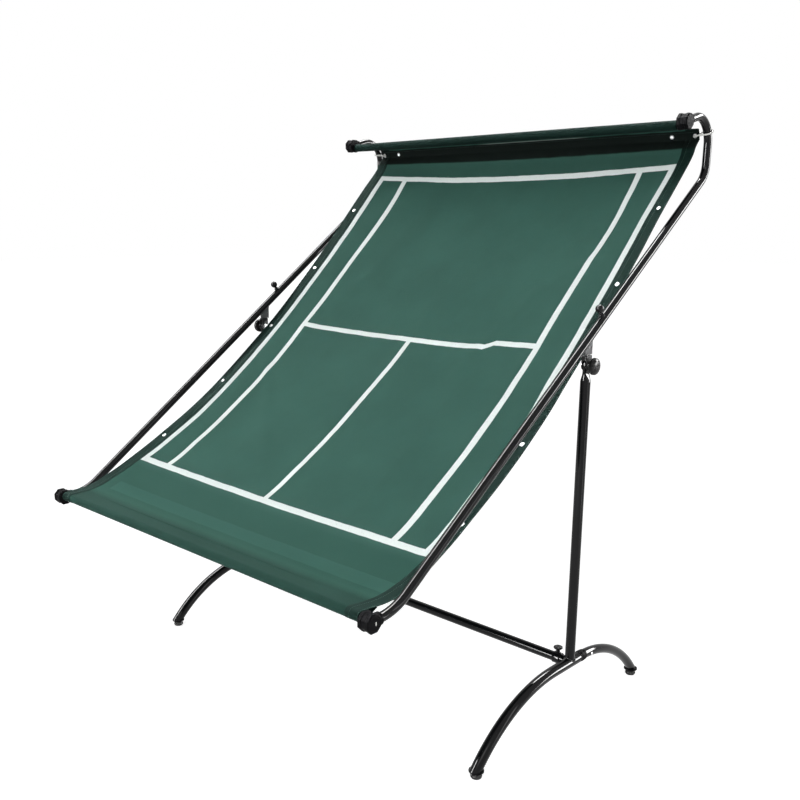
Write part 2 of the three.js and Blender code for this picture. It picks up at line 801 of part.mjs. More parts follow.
const lipStart = touchSleeve(topCentre, fold, -1);
const chord = bottomCentre.clone().addScaledVector(riser, sleeveMiddle).sub(crease);
const sagSide = new THREE.Vector2(-chord.y, chord.x).normalize();
const knots = sagShares.map(([way, sag]) =>
  crease.clone().addScaledVector(chord, way).addScaledVector(sagSide, sag * chord.length()));
const faceEnd = touchSleeve(bottomCentre, knots.at(-1), 1);

function rounded(before, corner, after) {
  const start = corner.clone().sub(before).setLength(foldRound).negate().add(corner);
  const end = after.clone().sub(corner).setLength(foldRound).add(corner);
  return new THREE.QuadraticBezierCurve(start, corner, end);
}

// Rows of a spline through the given places, with its own number of rows up to each of them.
function splineRows(places, counts) {
  const curve = new THREE.SplineCurve(places);
  return counts.flatMap((count, i) =>
    Array.from({ length: count }, (_, step) => curve.getPoint((i + (step + 1) / count) / counts.length)));
}

const bend = rounded(lipStart, fold, bandFoot);
const topRows = [
  ...new THREE.LineCurve(lipStart, bend.v0).getSpacedPoints(lipRows),
  ...bend.getSpacedPoints(foldRows).slice(1),
  bandFoot,
];
const rowCounts = [...sagShares.map((knot) => knot.at(-1)), 1];
const crossKnots = [0, ...sagShares.map(([, , cross]) => cross), 0];
const crossPlaces = crossKnots.map((cross) => new THREE.Vector2(cross, 0));
const crossShares = splineRows(crossPlaces, rowCounts).map((place) => place.x);
const facePoints = splineRows([bandFoot, ...knots, faceEnd], rowCounts);
const profileRows = [
  ...topRows.map((point) => ({ point, crossShare: 0 })),
  ...facePoints.map((point, i) => ({ point, crossShare: crossShares[i] })),
];
profileRows.forEach((row, i) => {
  const before = profileRows[Math.max(i - 1, 0)].point;
  const after = profileRows[Math.min(i + 1, profileRows.length - 1)].point;
  const along = after.clone().sub(before).normalize();
  row.behind = new THREE.Vector2(-along.y, along.x);
});

// A point of the sheet's middle surface, moved off it by a height towards the front.
function sheetPoint(x, row, height = 0) {
  const { point, behind, crossShare } = row;
  const across = x / sheetHalfWidth;
  const sag = crossSag * (1 - across * across) * crossShare;
  const at = point.clone().addScaledVector(behind, sag - height);
  return new THREE.Vector3(x, at.x, at.y);
}

function sheetStrip() {
  const columns = Array.from({ length: sheetColumns + 1 }, (_, i) => sheetHalfWidth * ((2 * i) / sheetColumns - 1));
  const points = [];
  for (const height of [sheetThickness * half, -sheetThickness * half]) {
    for (const row of profileRows) {
      for (const x of columns) points.push(sheetPoint(x, row, height).toArray());
    }
  }
  const wide = columns.length;
  const long = profileRows.length;
  const at = (layer, row, column) => (layer * long + row) * wide + column;
  const faces = [];
  const quad = (a, b, c, d) => faces.push([a, b, c], [a, c, d]);
  for (let row = 0; row < long - 1; row++) {
    for (let i = 0; i < wide - 1; i++) {
      quad(at(0, row, i), at(0, row + 1, i), at(0, row + 1, i + 1), at(0, row, i + 1));
      quad(at(1, row, i), at(1, row, i + 1), at(1, row + 1, i + 1), at(1, row + 1, i));
    }
    quad(at(0, row, 0), at(1, row, 0), at(1, row + 1, 0), at(0, row + 1, 0));
    const last = wide - 1;
    quad(at(0, row, last), at(0, row + 1, last), at(1, row + 1, last), at(1, row, last));
  }
  for (let i = 0; i < wide - 1; i++) {
    quad(at(0, 0, i), at(0, 0, i + 1), at(1, 0, i + 1), at(1, 0, i));
    const last = long - 1;
    quad(at(0, last, i), at(1, last, i), at(1, last, i + 1), at(0, last, i + 1));
  }
  return indexed(points, faces);
}

// The side of the sheet that a player faces, in the panel's frame.
const frontUp = new THREE.Vector3(0, forward.x + riser.x, forward.y + riser.y).normalize();

// Place and front direction on the sheet, as faceted, at a distance along the given rows.
function onSheet(x, rows, distance) {
  let left = distance;
  for (let i = 0; i < rows.length - 1; i++) {
    const step = rows[i].point.distanceTo(rows[i + 1].point);
    if (left <= step || i === rows.length - 2) {
      const reach = eyeletFlange;
      const ends = [sheetPoint(x, rows[i]), sheetPoint(x, rows[i + 1])];
      const side = sheetPoint(x - reach, rows[i]).sub(sheetPoint(x + reach, rows[i]));
      const along = ends[1].clone().sub(ends[0]);
      const normal = along.clone().cross(side).normalize();
      if (normal.dot(frontUp) < 0) normal.negate();
      return { place: ends[0].clone().addScaledVector(along, left / step), normal };
    }
    left -= step;
  }
  return null;
}

const bandRow = lipRows + foldRows;
const bandRows = profileRows.slice(bandRow, bandRow + 2);
const faceRowsDown = profileRows.slice(bandRow + 1);
const faceRowsUp = [...faceRowsDown].reverse();
const eyeletX = sheetHalfWidth - eyeletInset;
const sideEyelets = Array.from({ length: eyeletsPerSide }, (_, i) =>
  onSheet(sheetHalfWidth - sideEyeletInset, faceRowsDown, firstEyelet + eyeletPitch * i));
const topEyelet = onSheet(eyeletX, bandRows, bandRows[0].point.distanceTo(bandRows[1].point) * bandEyeletShare);
const toeEyelet = onSheet(eyeletX, faceRowsUp, toeEyeletInset);

// Puts a piece that stands along +Z on the sheet.
function standOn({ place, normal }, geometry) {
  const turn = new THREE.Quaternion().setFromUnitVectors(new THREE.Vector3(0, 0, 1), normal);
  return geometry.applyQuaternion(turn).translate(place.x, place.y, place.z);
}

function eyelet(spot) {
  const outer = sheetThickness * half + runningGap + eyeletLip;
  const inner = outer - eyeletLip;
  return standOn(spot, turned([
    [eyeletHole, -outer],
    [eyeletFlange, -outer],
    [eyeletFlange, -inner],
    [eyeletBarrel, -inner],
    [eyeletBarrel, inner],
    [eyeletFlange, inner],
    [eyeletFlange, outer],
    [eyeletHole, outer],
    [eyeletHole, -outer],
  ], eyeletSides));
}

function sheet() {
  const outer = sleeveMiddle + sheetThickness * half;
  const inner = sleeveMiddle - sheetThickness * half;
  const sleeves = [topBar, bottomBar].map((bar) => cut(
    join(rodAlongX(outer, -sheetHalfWidth, sheetHalfWidth, bar.y, bar.z)),
    rodAlongX(inner, -sheetHalfWidth - overrun, sheetHalfWidth + overrun, bar.y, bar.z),
  ));
  const holes = [topEyelet, toeEyelet, ...sideEyelets].flatMap((spot) => {
    const rod = rodAlongZ(eyeletBarrel + fit + fit, -overrun, overrun, 0, 0, eyeletSides);
    const right = standOn(spot, rod);
    const left = right.clone().scale(-1, 1, 1);
    const flipped = left.index.array;
    for (let i = 0; i < flipped.length; i += 3) {
      [flipped[i], flipped[i + 1]] = [flipped[i + 1], flipped[i]];
    }
    return [right, left];
  });
  const whole = sleeves.reduce((strip, sleeve) => strip.add(sleeve), join(sheetStrip()));
  return geometryOf(cut(whole, ...holes));
}

// Elastic cords. Each is a loop through a corner eyelet and round the rail, with its ends in one knot.

function cordLoop(points) {
  const curve = new THREE.CatmullRomCurve3(points.map((p) => new THREE.Vector3(...p)));
  const ring = new THREE.Shape().absarc(0, 0, cordRadius, 0, fullTurn);
  const loop = new THREE.ExtrudeGeometry(ring, {
    steps: cordSteps,
    curveSegments: cordSides * half,
    extrudePath: curve,
  });
  const [first, last] = [points[0], points.at(-1)];
  const middle = first.map((value, i) => (value + last[i]) * half);
  const knot = new THREE.SphereGeometry(cordKnotRadius, cordSides + 2, cordSides - 2).translate(...middle);
  return geometryOf(join(loop, knot));
}

const wrap = railRadius + cordRadius + cordGap;
const wrapCorner = wrap * Math.SQRT1_2;
const cordNear = cordLift * half;
const cordOut = new THREE.Vector3(1, 0, 0);

// A place moved along some directions, each by its own length.
function moved(base, ...offsets) {
  return offsets.reduce((point, [axis, length]) => point.addScaledVector(axis, length), base.clone()).toArray();
}

// The strand that comes up through an eyelet, from its knot under the sheet.
function throughEyelet({ place, normal }, toRail) {
  return [
    moved(place, [toRail, cordNear], [normal, -cordLift]),
    moved(place, [normal, -cordNear]),
    moved(place, [normal, cordNear]),
    moved(place, [toRail, cordNear], [normal, cordLift]),
  ];
}

// From the eyelet round the back of the hook to a knot on its front.
function topCord() {
  const { place, normal } = topEyelet;
  const level = railRoute.at(hookMark + topCordReach);
  const rail = new THREE.Vector3(halfSpan, level.y, level.z);
  const front = new THREE.Vector3(0, -Math.sin(level.heading), Math.cos(level.heading));
  return cordLoop([
    moved(rail, [cordOut, -railRadius - cordKnotRadius], [front, wrap]),
    moved(place, [normal, cordLift]),
    moved(place, [normal, cordNear]),
    moved(place, [normal, -cordNear]),
    moved(place, [cordOut, cordNear], [normal, -cordLift]),
    moved(rail, [cordOut, -wrapCorner], [front, -wrapCorner]),
    moved(rail, [front, -wrap]),
    moved(rail, [cordOut, wrapCorner], [front, -wrapCorner]),
    moved(rail, [cordOut, wrap]),
    moved(rail, [cordOut, wrapCorner], [front, wrapCorner]),
    moved(rail, [front, wrap]),
    moved(rail, [cordOut, -railRadius], [front, wrap]),
  ]);
}

// Round the toe of the rail, which runs almost level with the sheet.
function toeCord() {
  const { place, normal } = toeEyelet;
  const past = ({ y, z, heading }) => (place.y - y) * Math.cos(heading) + (place.z - z) * Math.sin(heading);
  const level = railRoute.at(past(bottomBar));
  const rail = new THREE.Vector3(halfSpan, level.y, level.z);
  const up = new THREE.Vector3(0, -Math.sin(level.heading), Math.cos(level.heading));
  return cordLoop([
    ...throughEyelet(toeEyelet, cordOut),
    moved(place, [cordOut, eyeletInset + cordNear], [normal, cordLift]),
    moved(rail, [up, wrap]),
    moved(rail, [cordOut, wrapCorner], [up, wrapCorner]),
    moved(rail, [cordOut, wrap]),
    moved(rail, [cordOut, wrapCorner], [up, -wrapCorner]),
    moved(rail, [up, -wrap]),
    moved(rail, [cordOut, -wrapCorner], [up, -wrapCorner]),
    moved(place, [cordOut, cordLift], [normal, -cordLift - cordNear]),
  ]);
}

// Assembly

const basePieces = [
  ["foot_front_arch", glossBlack, footFrontArch()],
  ["foot_joint_collar", mouldedBlack, jointCollar()],
  ["foot_back_arch", glossBlack, footBackArch()],
  ["snap_button", bareSteel, snapButton()],
  ["foot_cap_front", mouldedBlack, footCap(true)],
  ["foot_cap_back", mouldedBlack, footCap(false)],
  ["levelling_pad_front", rubberBlack, footPad(true)],
  ["levelling_pad_back", rubberBlack, footPad(false)],
  ["post", glossBlack, post()],
  ["pivot_bolt", bareSteel, pivotBolt()],
  ["pivot_knob", mouldedBlack, pivotKnob()],
  ["stretcher_knob", mouldedBlack, stretcherKnob()],
];

const panelPieces = [
  ["lower_rail", glossBlack, lowerRail()],
  ["upper_rail", glossBlack, upperRail()],
  ["ball_knob", mouldedBlack, ballKnob()],
  ["gusset_plate", satinGrey, gussetPlate()],
  ["tilt_bracket", mouldedBlack, tiltBracket()],
  ["corner_piece_top", mouldedBlack, cornerPiece(true)],
  ["corner_piece_bottom", mouldedBlack, cornerPiece(false)],
  ["top_eyelet", bareSteel, eyelet(topEyelet)],
  ["toe_eyelet", bareSteel, eyelet(toeEyelet)],
  ...sideEyelets.map((spot, i) => [`side_eyelet_${i + 1}`, bareSteel, eyelet(spot)]),
  ["top_corner_cord", paleCord, topCord()],
  ["toe_corner_cord", paleCord, toeCord()],
];

// The right side as built, and the left side as its mirror image.
function bothSides(pieces) {
  const group = new THREE.Group();
  for (const [side, across] of [["right", 1], ["left", -1]]) {
    const hand = new THREE.Group();
    hand.scale.x = across;
    for (const [name, finish, geometry] of pieces) hand.add(meshOf(`${name}_${side}`, finish, geometry));
    group.add(hand);
  }
  return group;
}

const base = bothSides(basePieces);
base.add(meshOf("stretcher", glossBlack, stretcher()));

const panel = bothSides(panelPieces);
panel.add(meshOf("top_crossbar", glossBlack, crossbar(topBar)));
panel.add(meshOf("bottom_crossbar", glossBlack, crossbar(bottomBar)));
panel.add(meshOf("rebound_sheet", greenCloth, sheet()));
panel.position.z = pivotHeight;
panel.rotation.x = tilt;

const net = new THREE.Group();
net.add(base, panel);
net.updateMatrixWorld(true);
const extent = new THREE.Box3().setFromObject(net, true);
net.position.y = -(extent.min.y + extent.max.y) * half;

export default net;
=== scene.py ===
import math

import bmesh
import bpy
import numpy as np
from mathutils import Matrix, Vector


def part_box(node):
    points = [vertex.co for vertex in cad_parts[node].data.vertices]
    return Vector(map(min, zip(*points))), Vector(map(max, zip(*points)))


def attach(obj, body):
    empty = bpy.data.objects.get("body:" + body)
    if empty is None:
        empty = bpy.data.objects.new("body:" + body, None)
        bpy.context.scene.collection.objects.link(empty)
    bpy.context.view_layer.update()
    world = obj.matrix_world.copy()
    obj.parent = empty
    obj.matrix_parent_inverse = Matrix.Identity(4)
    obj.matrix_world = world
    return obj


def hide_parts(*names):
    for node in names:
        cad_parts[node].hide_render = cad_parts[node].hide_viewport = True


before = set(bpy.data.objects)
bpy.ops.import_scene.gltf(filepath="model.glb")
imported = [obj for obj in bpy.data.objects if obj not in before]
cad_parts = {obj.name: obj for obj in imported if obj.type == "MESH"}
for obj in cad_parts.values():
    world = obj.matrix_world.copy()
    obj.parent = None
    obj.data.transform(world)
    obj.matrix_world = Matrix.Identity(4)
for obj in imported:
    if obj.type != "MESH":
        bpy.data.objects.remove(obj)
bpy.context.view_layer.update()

bl_info = {
    "name": "Tennis rebound net",
    "version": (1, 0, 0),
    "blender": (4, 5, 0),
    "location": "View3D > Sidebar > Rebound net",
    "description": "Builds the visible pieces of a tennis rebound net round its packed model",
    "category": "Add Mesh",
}

# Lengths are in millimetres until a mesh is made, and angles are in radians.
MM = 0.001
FULL_TURN = 2 * math.pi
QUARTER_TURN = math.pi / 2
SIDES = {"right": 1, "left": -1}

# Layout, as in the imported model
HALF_SPAN = 670.0
TILT = math.radians(35.7)
knob_low, knob_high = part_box("pivot_knob_right")
PIVOT_Y = (knob_low.y + knob_high.y) / 2 / MM
PIVOT_Z = (knob_low.z + knob_high.z) / 2 / MM
FIT = 0.3

# Feet
CREST_Z = 173.0
FOOT_TUBE_END = 22.6
FRONT_BEND = 460.0
BACK_BEND = 400.0
CREST_FRONT = 85.0
CREST_BACK = 55.0
FRONT_TUBE_BACK = 40.0
COLLAR_LENGTH = 30.0
COLLAR_RADIUS = 15.5
CUT_TAIL = 45.0
FLANGE_RADIUS = 20.5
PAD_TOP = 17.3
FLANGE_TOP = 22.3
BUTTON_INSET = 25.0
CLAMP_X = 630.0

# Posts. The tab's start and end are drops below the pivot.
TAB_START, TAB_END = 45.0, 18.0
TAB_HALF_THICKNESS = 5.0
TAB_HALF_WIDTH = 12.0
TAB_CORNER = 0.42

# Tilt brackets and gussets, each plate's two faces
CHEEKS = ((661.5, 664.5), (675.5, 678.5))
WEB = (663.5, 676.5)
GUSSET = (667.0, 673.0)
GUSSET_WELDS = (666.4, 673.6)

# Rails, in the panel's frame
RAIL_OFFSET = 55.0
TOE_CORNER = 878.0
TOE_REACH = 76.0
TOE_BEND_RADIUS = 150.0
KNEE_CORNER = 788.0
KNEE_BEND = QUARTER_TURN - TILT
KNEE_RADIUS = 70.0
RISER_REACH = 88.5
HOOK_RADIUS = 72.0
HOOK_SWEEP = math.radians(104)
HOOK_REACH = 67.0
RAIL_JOINT = 103.0
BALL_KNOB_INSET = 24.0
TOP_BAR_OFFSET = 8.0
BOTTOM_BAR_OFFSET = 5.5
RAIL_END_GAP = 13.3
CORNER_LOW = 653.0
CORNER_HIGH = 687.0
CORNER_RADIUS = 24.0
CORNER_SOCKET = 31.0
CROSSBAR_END = 678.0

# Sheet
SHEET_HALF_WIDTH = 648.0
SLEEVE_MIDDLE = 12.6
FOLD_RISE = 133.5
FOLD_INSET = 18.0
FOLD_ROUND = 7.0
BAND_RISE = 103.0
CREASE_RISE = 111.5
CREASE_INSET = 8.0
BAND_ABOVE_FOOT = CREASE_RISE - BAND_RISE
CROSS_SAG = 48.0
TOP_HEM, BOTTOM_HEM = 42.0, 46.0
SIDE_HEM = 605.0
SIDE_HEM_RAISED = 0.7
HEM_ROW_INSET = 43.0
SIDE_SEAMS = (-645.0, -619.5, 619.5, 645.0)
BOTTOM_SEAM_INSETS = (46.0, 40.0)
TOP_SEAMS = (-14.0, -48.0)
STITCH_LINE_STEP = 6.0
# Share of the way from crease to bottom sleeve, the sides' mean sag there, how much more than that the right side
# sags, and the middle's further sag as a share of the cross sag
SAG_SHARES = (
    (0.019, 0.0067, 0.0, 0.24),
    (0.0473, 0.0158, 0.0, 0.56),
    (0.147, 0.029, 0.0, 1.0),
    (0.3055, 0.0554, 0.0, 0.73),
    (0.47, 0.074, 0.002, 0.58),
    (0.633, 0.0765, 0.006, 0.36),
    (0.7996, 0.0625, 0.0085, 0.33),
    (0.865, 0.054, 0.0085, 0.24),
    (0.9165, 0.045, 0.008, 0.16),
    (0.96, 0.029, 0.004, 0.08),
)
# How far the cloth has slid to the right, at each place across and at each row down the sheet
DRAWN_ACROSS = (-648, -594, -483, 0, 483, 594, 648)
DRAWN_ROWS = (
    (40, 0, 0, 0, 0, 0, 0, 0),
    (130, -1, -1, 4, 0, 9, 4, 0),
    (230, 2, 3, 10, 0, 12, 1, 0),
    (330, 2, 3, 9, 0, 14, -2, -2),
    (430, 0, -1, 3, 0, 7, -2, -2),
    (530, 0, -2, -3, 0, -2, -3, -3),
    (730, 0, -4, -7, 0, -8, -6, -5),
    (830, 0, -4, -9, 0, -5, -6, -5),
    (930, 0, -1, 0, 1, -4, -4, -4),
    (1030, 6, 8, 9, -1, 0, 4, 0),
    (1130, 14, 18, 17, 0, 3, 5, 1),
    (1230, 22, 27, 22, 5, 6, 7, 2),
    (1330, 26, 32, 29, 6, 7, 8, 3),
    (1430, 22, 26, 26, 2, 9, 13, 3),
    (1530, 14, 19, 24, 2, 11, 12, 3),
    (1680, 0, 0, 0, 0, 0, 0, 0),
)
EYELET_X = 635.0
SIDE_EYELET_X = 628.0
FIRST_EYELET = 270.0
EYELET_PITCH = 291.0
EYELETS_PER_SIDE = 5
SECOND_EYELET_X = 561.0
BAND_EYELET_RISE = 12.0
TOE_EYELET_RISE = 5.0
EYELET_THICKNESS = 0.0042  # metres
THREAD_THICKNESS = 0.0007  # metres


# Meshes

class Route:
    """Centre line of a bent tube in the side plane, as rows of mark, y, z and heading."""

    bend_step = math.radians(2.5)

    def __init__(self, y, z, heading, moves):
        rows = [(0.0, y, z, heading)]
        for run, turn, radius in moves:
            mark, y, z, heading = rows[-1]
            if not turn:
                rows.append((mark + run, y + run * math.cos(heading), z + run * math.sin(heading), heading))
                continue
            steps = math.ceil(abs(turn) / self.bend_step)
            signed = math.copysign(radius, turn)
            for i in range(1, steps + 1):
                ahead = heading + turn * i / steps
                rows.append((
                    mark + radius * abs(turn) * i / steps,
                    y + signed * (math.sin(ahead) - math.sin(heading)),
                    z - signed * (math.cos(ahead) - math.cos(heading)),
                    ahead,
                ))
        self.rows = np.array(rows)
        self.length = rows[-1][0]

    def turned(self, angle, y, z):
        """The route turned about its origin and moved."""
        old_y, old_z = self.rows[:, 1].copy(), self.rows[:, 2].copy()
        self.rows[:, 1] = y + old_y * math.cos(angle) - old_z * math.sin(angle)
        self.rows[:, 2] = z + old_y * math.sin(angle) + old_z * math.cos(angle)
        self.rows[:, 3] += angle
        return self

    def at(self, mark):
        return tuple(float(np.interp(mark, self.rows[:, 0], self.rows[:, i])) for i in (1, 2, 3))

    def part(self, start, end, marks=()):
        inner = [m for m in self.rows[:, 0] if start + FIT < m < end - FIT]
        return sorted({start, end, *inner, *marks})


def beside(place, offset):
    """A place to the left of a route's heading."""
    y, z, heading = place
    return y - offset * math.sin(heading), z + offset * math.cos(heading), heading


def angles_round(count):
    return np.linspace(0, FULL_TURN, count, endpoint=False)


def run_along(path):
    """Distance along a path, at each of its points."""
    steps = np.linalg.norm(np.diff(path, axis=0), axis=1)
    return np.concatenate([[0.0], np.cumsum(steps)])


def tube_faces(rows, around):
    faces = []
    for row in range(rows - 1):
        for i in range(around):
            a = row * around
            b = a + around
            j = (i + 1) % around
            faces.append((a + i, a + j, b + j, b + i))
    return faces


def closed_tube_faces(rows, around):
    """The faces of a tube with those of its two ends."""
    last = (rows - 1) * around
    return tube_faces(rows, around) + [tuple(range(around)), tuple(range(last, last + around))]


def sweep(places, radii, x, around=32):
    """A closed tube through places of y, z and heading, with a radius, or a pair across and upright, for each."""
    turns = angles_round(around)
    points = []
    for (y, z, heading), radius in zip(places, radii):
        across, upright = radius if isinstance(radius, tuple) else (radius, radius)
        for turn in turns:
            rise = upright * math.sin(turn)
            points.append((x + across * math.cos(turn), y - rise * math.sin(heading), z + rise * math.cos(heading)))
    return points, closed_tube_faces(len(places), around)


def route_tube(route, start, end, radius, x, chamfer=1.0, around=32):
    """A tube along part of a route with its two ends chamfered."""
    marks = route.part(start, end, (start + chamfer, end - chamfer))
    radii = [radius - chamfer if mark in (start, end) else radius for mark in marks]
    return sweep([route.at(mark) for mark in marks], radii, x, around)


def turned(profile, around=48):
    """A turned piece standing on +Z, from pairs of radius and height that start and end on the axis."""
    turns = angles_round(around)
    points, faces, rings = [], [], []
    for radius, height in profile:
        if radius < 1e-6:
            rings.append([len(points)] * around)
            points.append((0.0, 0.0, height))
        else:
            rings.append(list(range(len(points), len(points) + around)))
            points += [(radius * math.cos(turn), radius * math.sin(turn), height) for turn in turns]
    for low, high in zip(rings, rings[1:]):
        for i in range(around):
            j = (i + 1) % around
            face = list(dict.fromkeys((low[i], low[j], high[j], high[i])))
            if len(face) > 2:
                faces.append(tuple(face))
    return points, faces


def soft(profile, radius, steps=4):
    """A profile with each inner corner rounded."""
    made = [profile[0]]
    for before, corner, after in zip(profile, profile[1:], profile[2:]):
        a, b, c = (np.array(p, float) for p in (before, corner, after))
        reach = min(radius, np.linalg.norm(a - b) / 2, np.linalg.norm(c - b) / 2)
        start = b + (a - b) / np.linalg.norm(a - b) * reach
        end = b + (c - b) / np.linalg.norm(c - b) * reach
        for share in np.linspace(0, 1, steps + 1):
            point = start * (1 - share) ** 2 + b * 2 * share * (1 - share) + end * share ** 2
            made.append(tuple(point))
    return made + [profile[-1]]


def rod(radius, low, high, chamfer=0.6, around=32):
    return turned([
        (0, low), (radius - chamfer, low), (radius, low + chamfer),
        (radius, high - chamfer), (radius - chamfer, high), (0, high),
    ], around)


def inset(outline, distance):
    """A convex outline, given anticlockwise, drawn in by a distance."""
    made = []
    count = len(outline)
    for i in range(count):
        before, here, after = (np.array(outline[(i + k) % count], float) for k in (-1, 0, 1))
        first, second = here - before, after - here
        first, second = (np.array((-v[1], v[0])) / np.linalg.norm(v) for v in (first, second))
        made.append(tuple(here + (first + second) * distance / (1 + first @ second)))
    return made


def prism(outline, low, high, chamfer=0.8):
    """A flat outline of y and z made thick along X, with chamfered edges."""
    drawn_in = inset(outline, chamfer)
    rings = ((low, drawn_in), (low + chamfer, outline), (high - chamfer, outline), (high, drawn_in))
    points = [(x, y, z) for x, ring in rings for y, z in ring]
    return points, closed_tube_faces(len(rings), len(outline))


def rope(path, radius, around=12, closed=False):
    """A round strand through points in space. The radius may be one for each point."""
    path = np.array(path, float)
    count = len(path)
    radii = np.broadcast_to(radius, count)
    ahead = np.roll(path, -1, 0) - np.roll(path, 1, 0)
    if not closed:
        ahead[0], ahead[-1] = path[1] - path[0], path[-1] - path[-2]
    ahead /= np.linalg.norm(ahead, axis=1)[:, None]
    side = np.cross(ahead[0], (0.0, 0.0, 1.0) if abs(ahead[0][2]) < 0.9 else (0.0, 1.0, 0.0))
    points = []
    for centre, direction, thick in zip(path, ahead, radii):
        side = side - direction * (side @ direction)
        side /= np.linalg.norm(side)
        other = np.cross(direction, side)
        for turn in angles_round(around):
            points.append(tuple(centre + thick * (side * math.cos(turn) + other * math.sin(turn))))
    if not closed:
        return points, closed_tube_faces(count, around)
    last = (count - 1) * around
    closing = [(last + i, last + (i + 1) % around, (i + 1) % around, i) for i in range(around)]
    return points, tube_faces(count, around) + closing


def spline(knots, steps):
    """Points of a smooth curve through the knots, with a number of steps between each two."""
    knots = np.array(knots, float)
    padded = np.vstack([2 * knots[0] - knots[1], knots, 2 * knots[-1] - knots[-2]])
    made = [knots[0]]
    for i in range(len(knots) - 1):
        a, b, c, d = padded[i:i + 4]
        for step in range(1, steps + 1):
            t = step / steps
            made.append(0.5 * (2 * b + (c - a) * t + (2 * a - 5 * b + 4 * c - d) * t ** 2
                               + (3 * b - a - 3 * c + d) * t ** 3))
    return np.array(made)


def merged(*parts):
    points, faces = [], []
    for more_points, more_faces in parts:
        first = len(points)
        points += list(more_points)
        faces += [tuple(first + i for i in face) for face in more_faces]
    return points, faces


def moved(part, matrix):
    points, faces = part
    return [tuple(matrix @ Vector(p)) for p in points], faces


def shifted(part, x=0.0, y=0.0, z=0.0):
    return moved(part, Matrix.Translation((x, y, z)))


def handed(part, sign):
    """The right-hand part, or its mirror image."""
    points, faces = part
    return [(x * sign, y, z) for x, y, z in points], faces


def along_x(part):
    """A piece that stands on +Z laid along +X."""
    return moved(part, Matrix.Rotation(QUARTER_TURN, 4, "Y"))


def face_outward(mesh, merge=0.0):
    """Turns a mesh's faces outward, after joining the points that lie within the merge distance."""
    shape = bmesh.new()
    shape.from_mesh(mesh)
    if merge:
        bmesh.ops.remove_doubles(shape, verts=shape.verts, dist=merge)
    bmesh.ops.recalc_face_normals(shape, faces=shape.faces)
    shape.to_mesh(mesh)
    shape.free()


def mesh_of(name, part):
    points, faces = part
    mesh = bpy.data.meshes.new(name)
    mesh.from_pydata([(x * MM, y * MM, z * MM) for x, y, z in points], [], faces)
    face_outward(mesh, 1e-6)
    return mesh


def placed(name, data):
    """A new object in the scene."""
    item = bpy.data.objects.new(name, data)
    bpy.context.scene.collection.objects.link(item)
    return item


def cut_below(part, height):
    """The part above a level, closed where it was cut."""
    points, faces = part
    shape = bmesh.new()
    made = [shape.verts.new(point) for point in points]
    for face in faces:
        shape.faces.new([made[i] for i in face])
    geometry = shape.verts[:] + shape.edges[:] + shape.faces[:]
    cut = bmesh.ops.bisect_plane(
        shape, geom=geometry, plane_co=(0, 0, height), plane_no=(0, 0, 1), clear_inner=True)
    edges = [item for item in cut["geom_cut"] if isinstance(item, bmesh.types.BMEdge)]
    bmesh.ops.contextual_create(shape, geom=edges)
    shape.verts.index_update()
    result = ([tuple(v.co) for v in shape.verts], [tuple(v.index for v in f.verts) for f in shape.faces])
    shape.free()
    return result


SHARP_EDGE = math.radians(32)
SHARP_EDGE_SOFT_PIECE = math.radians(60)


def finish_piece(piece, finish, body, replaces=(), sharp=SHARP_EDGE):
    """Gives a piece its material and smooth faces, and ties it to its body."""
    piece.data.materials.clear()
    piece.data.materials.append(finish)
    piece.data.shade_smooth()
    piece.data.set_sharp_from_angle(angle=sharp)
    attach(piece, body)
    if replaces:
        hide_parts(*replaces)


def add_piece(name, part, finish, body, replaces=()):
    finish_piece(placed(name, mesh_of(name, part)), finish_of(finish), body, replaces)


def add_handed(side, name, part, finish, body, node=""):
    """A piece of one side, from the right-hand part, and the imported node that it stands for."""
    replaces = [f"{node}_{side}"] if node else ()
    add_piece(f"{name}_{side}", handed(part, SIDES[side]), finish, body, replaces)


# Node trees

class Value:
    """An output socket that arithmetic works on. An expression adds its Math nodes."""

    def __init__(self, nodes, socket):
        self.nodes = nodes
        self.socket = socket

    def sibling(self, output):
        """Another output of the same node."""
        return Value(self.nodes, self.socket.node.outputs[output])

    def math(self, operation, *others, first=None):
        values = [self if first is None else first, *others]
        return self.nodes.add("ShaderNodeMath", {"operation": operation}, dict(enumerate(values)))

    def __add__(self, other):
        return self.math("ADD", other)

    __radd__ = __add__

    def __mul__(self, other):
        return self.math("MULTIPLY", other)

    __rmul__ = __mul__

    def __sub__(self, other):
        return self.math("SUBTRACT", other)

    def __rsub__(self, other):
        return self.math("SUBTRACT", self, first=other)

    def __truediv__(self, other):
        return self.math("DIVIDE", other)

    def __pow__(self, other):
        return self.math("POWER", other)

    def __abs__(self):
        return self.math("ABSOLUTE")

    def over(self, other):
        return self.math("MAXIMUM", other)

    def under(self, other):
        return self.math("MINIMUM", other)

    def sine(self):
        return self.math("SINE")

    def clamped(self):
        return self.over(0.0).under(1.0)


class Nodes:
    """A node tree, with one method that makes any node."""

    def __init__(self, tree):
        self.tree = tree

    def add(self, kind, settings=None, inputs=None, output=0):
        node = self.tree.nodes.new(kind)
        for key, value in (settings or {}).items():
            setattr(node, key, value)
        for key, value in (inputs or {}).items():
            if isinstance(value, Value):
                self.tree.links.new(value.socket, node.inputs[key])
            else:
                node.inputs[key].default_value = value
        return Value(self, node.outputs[output]) if node.outputs else node


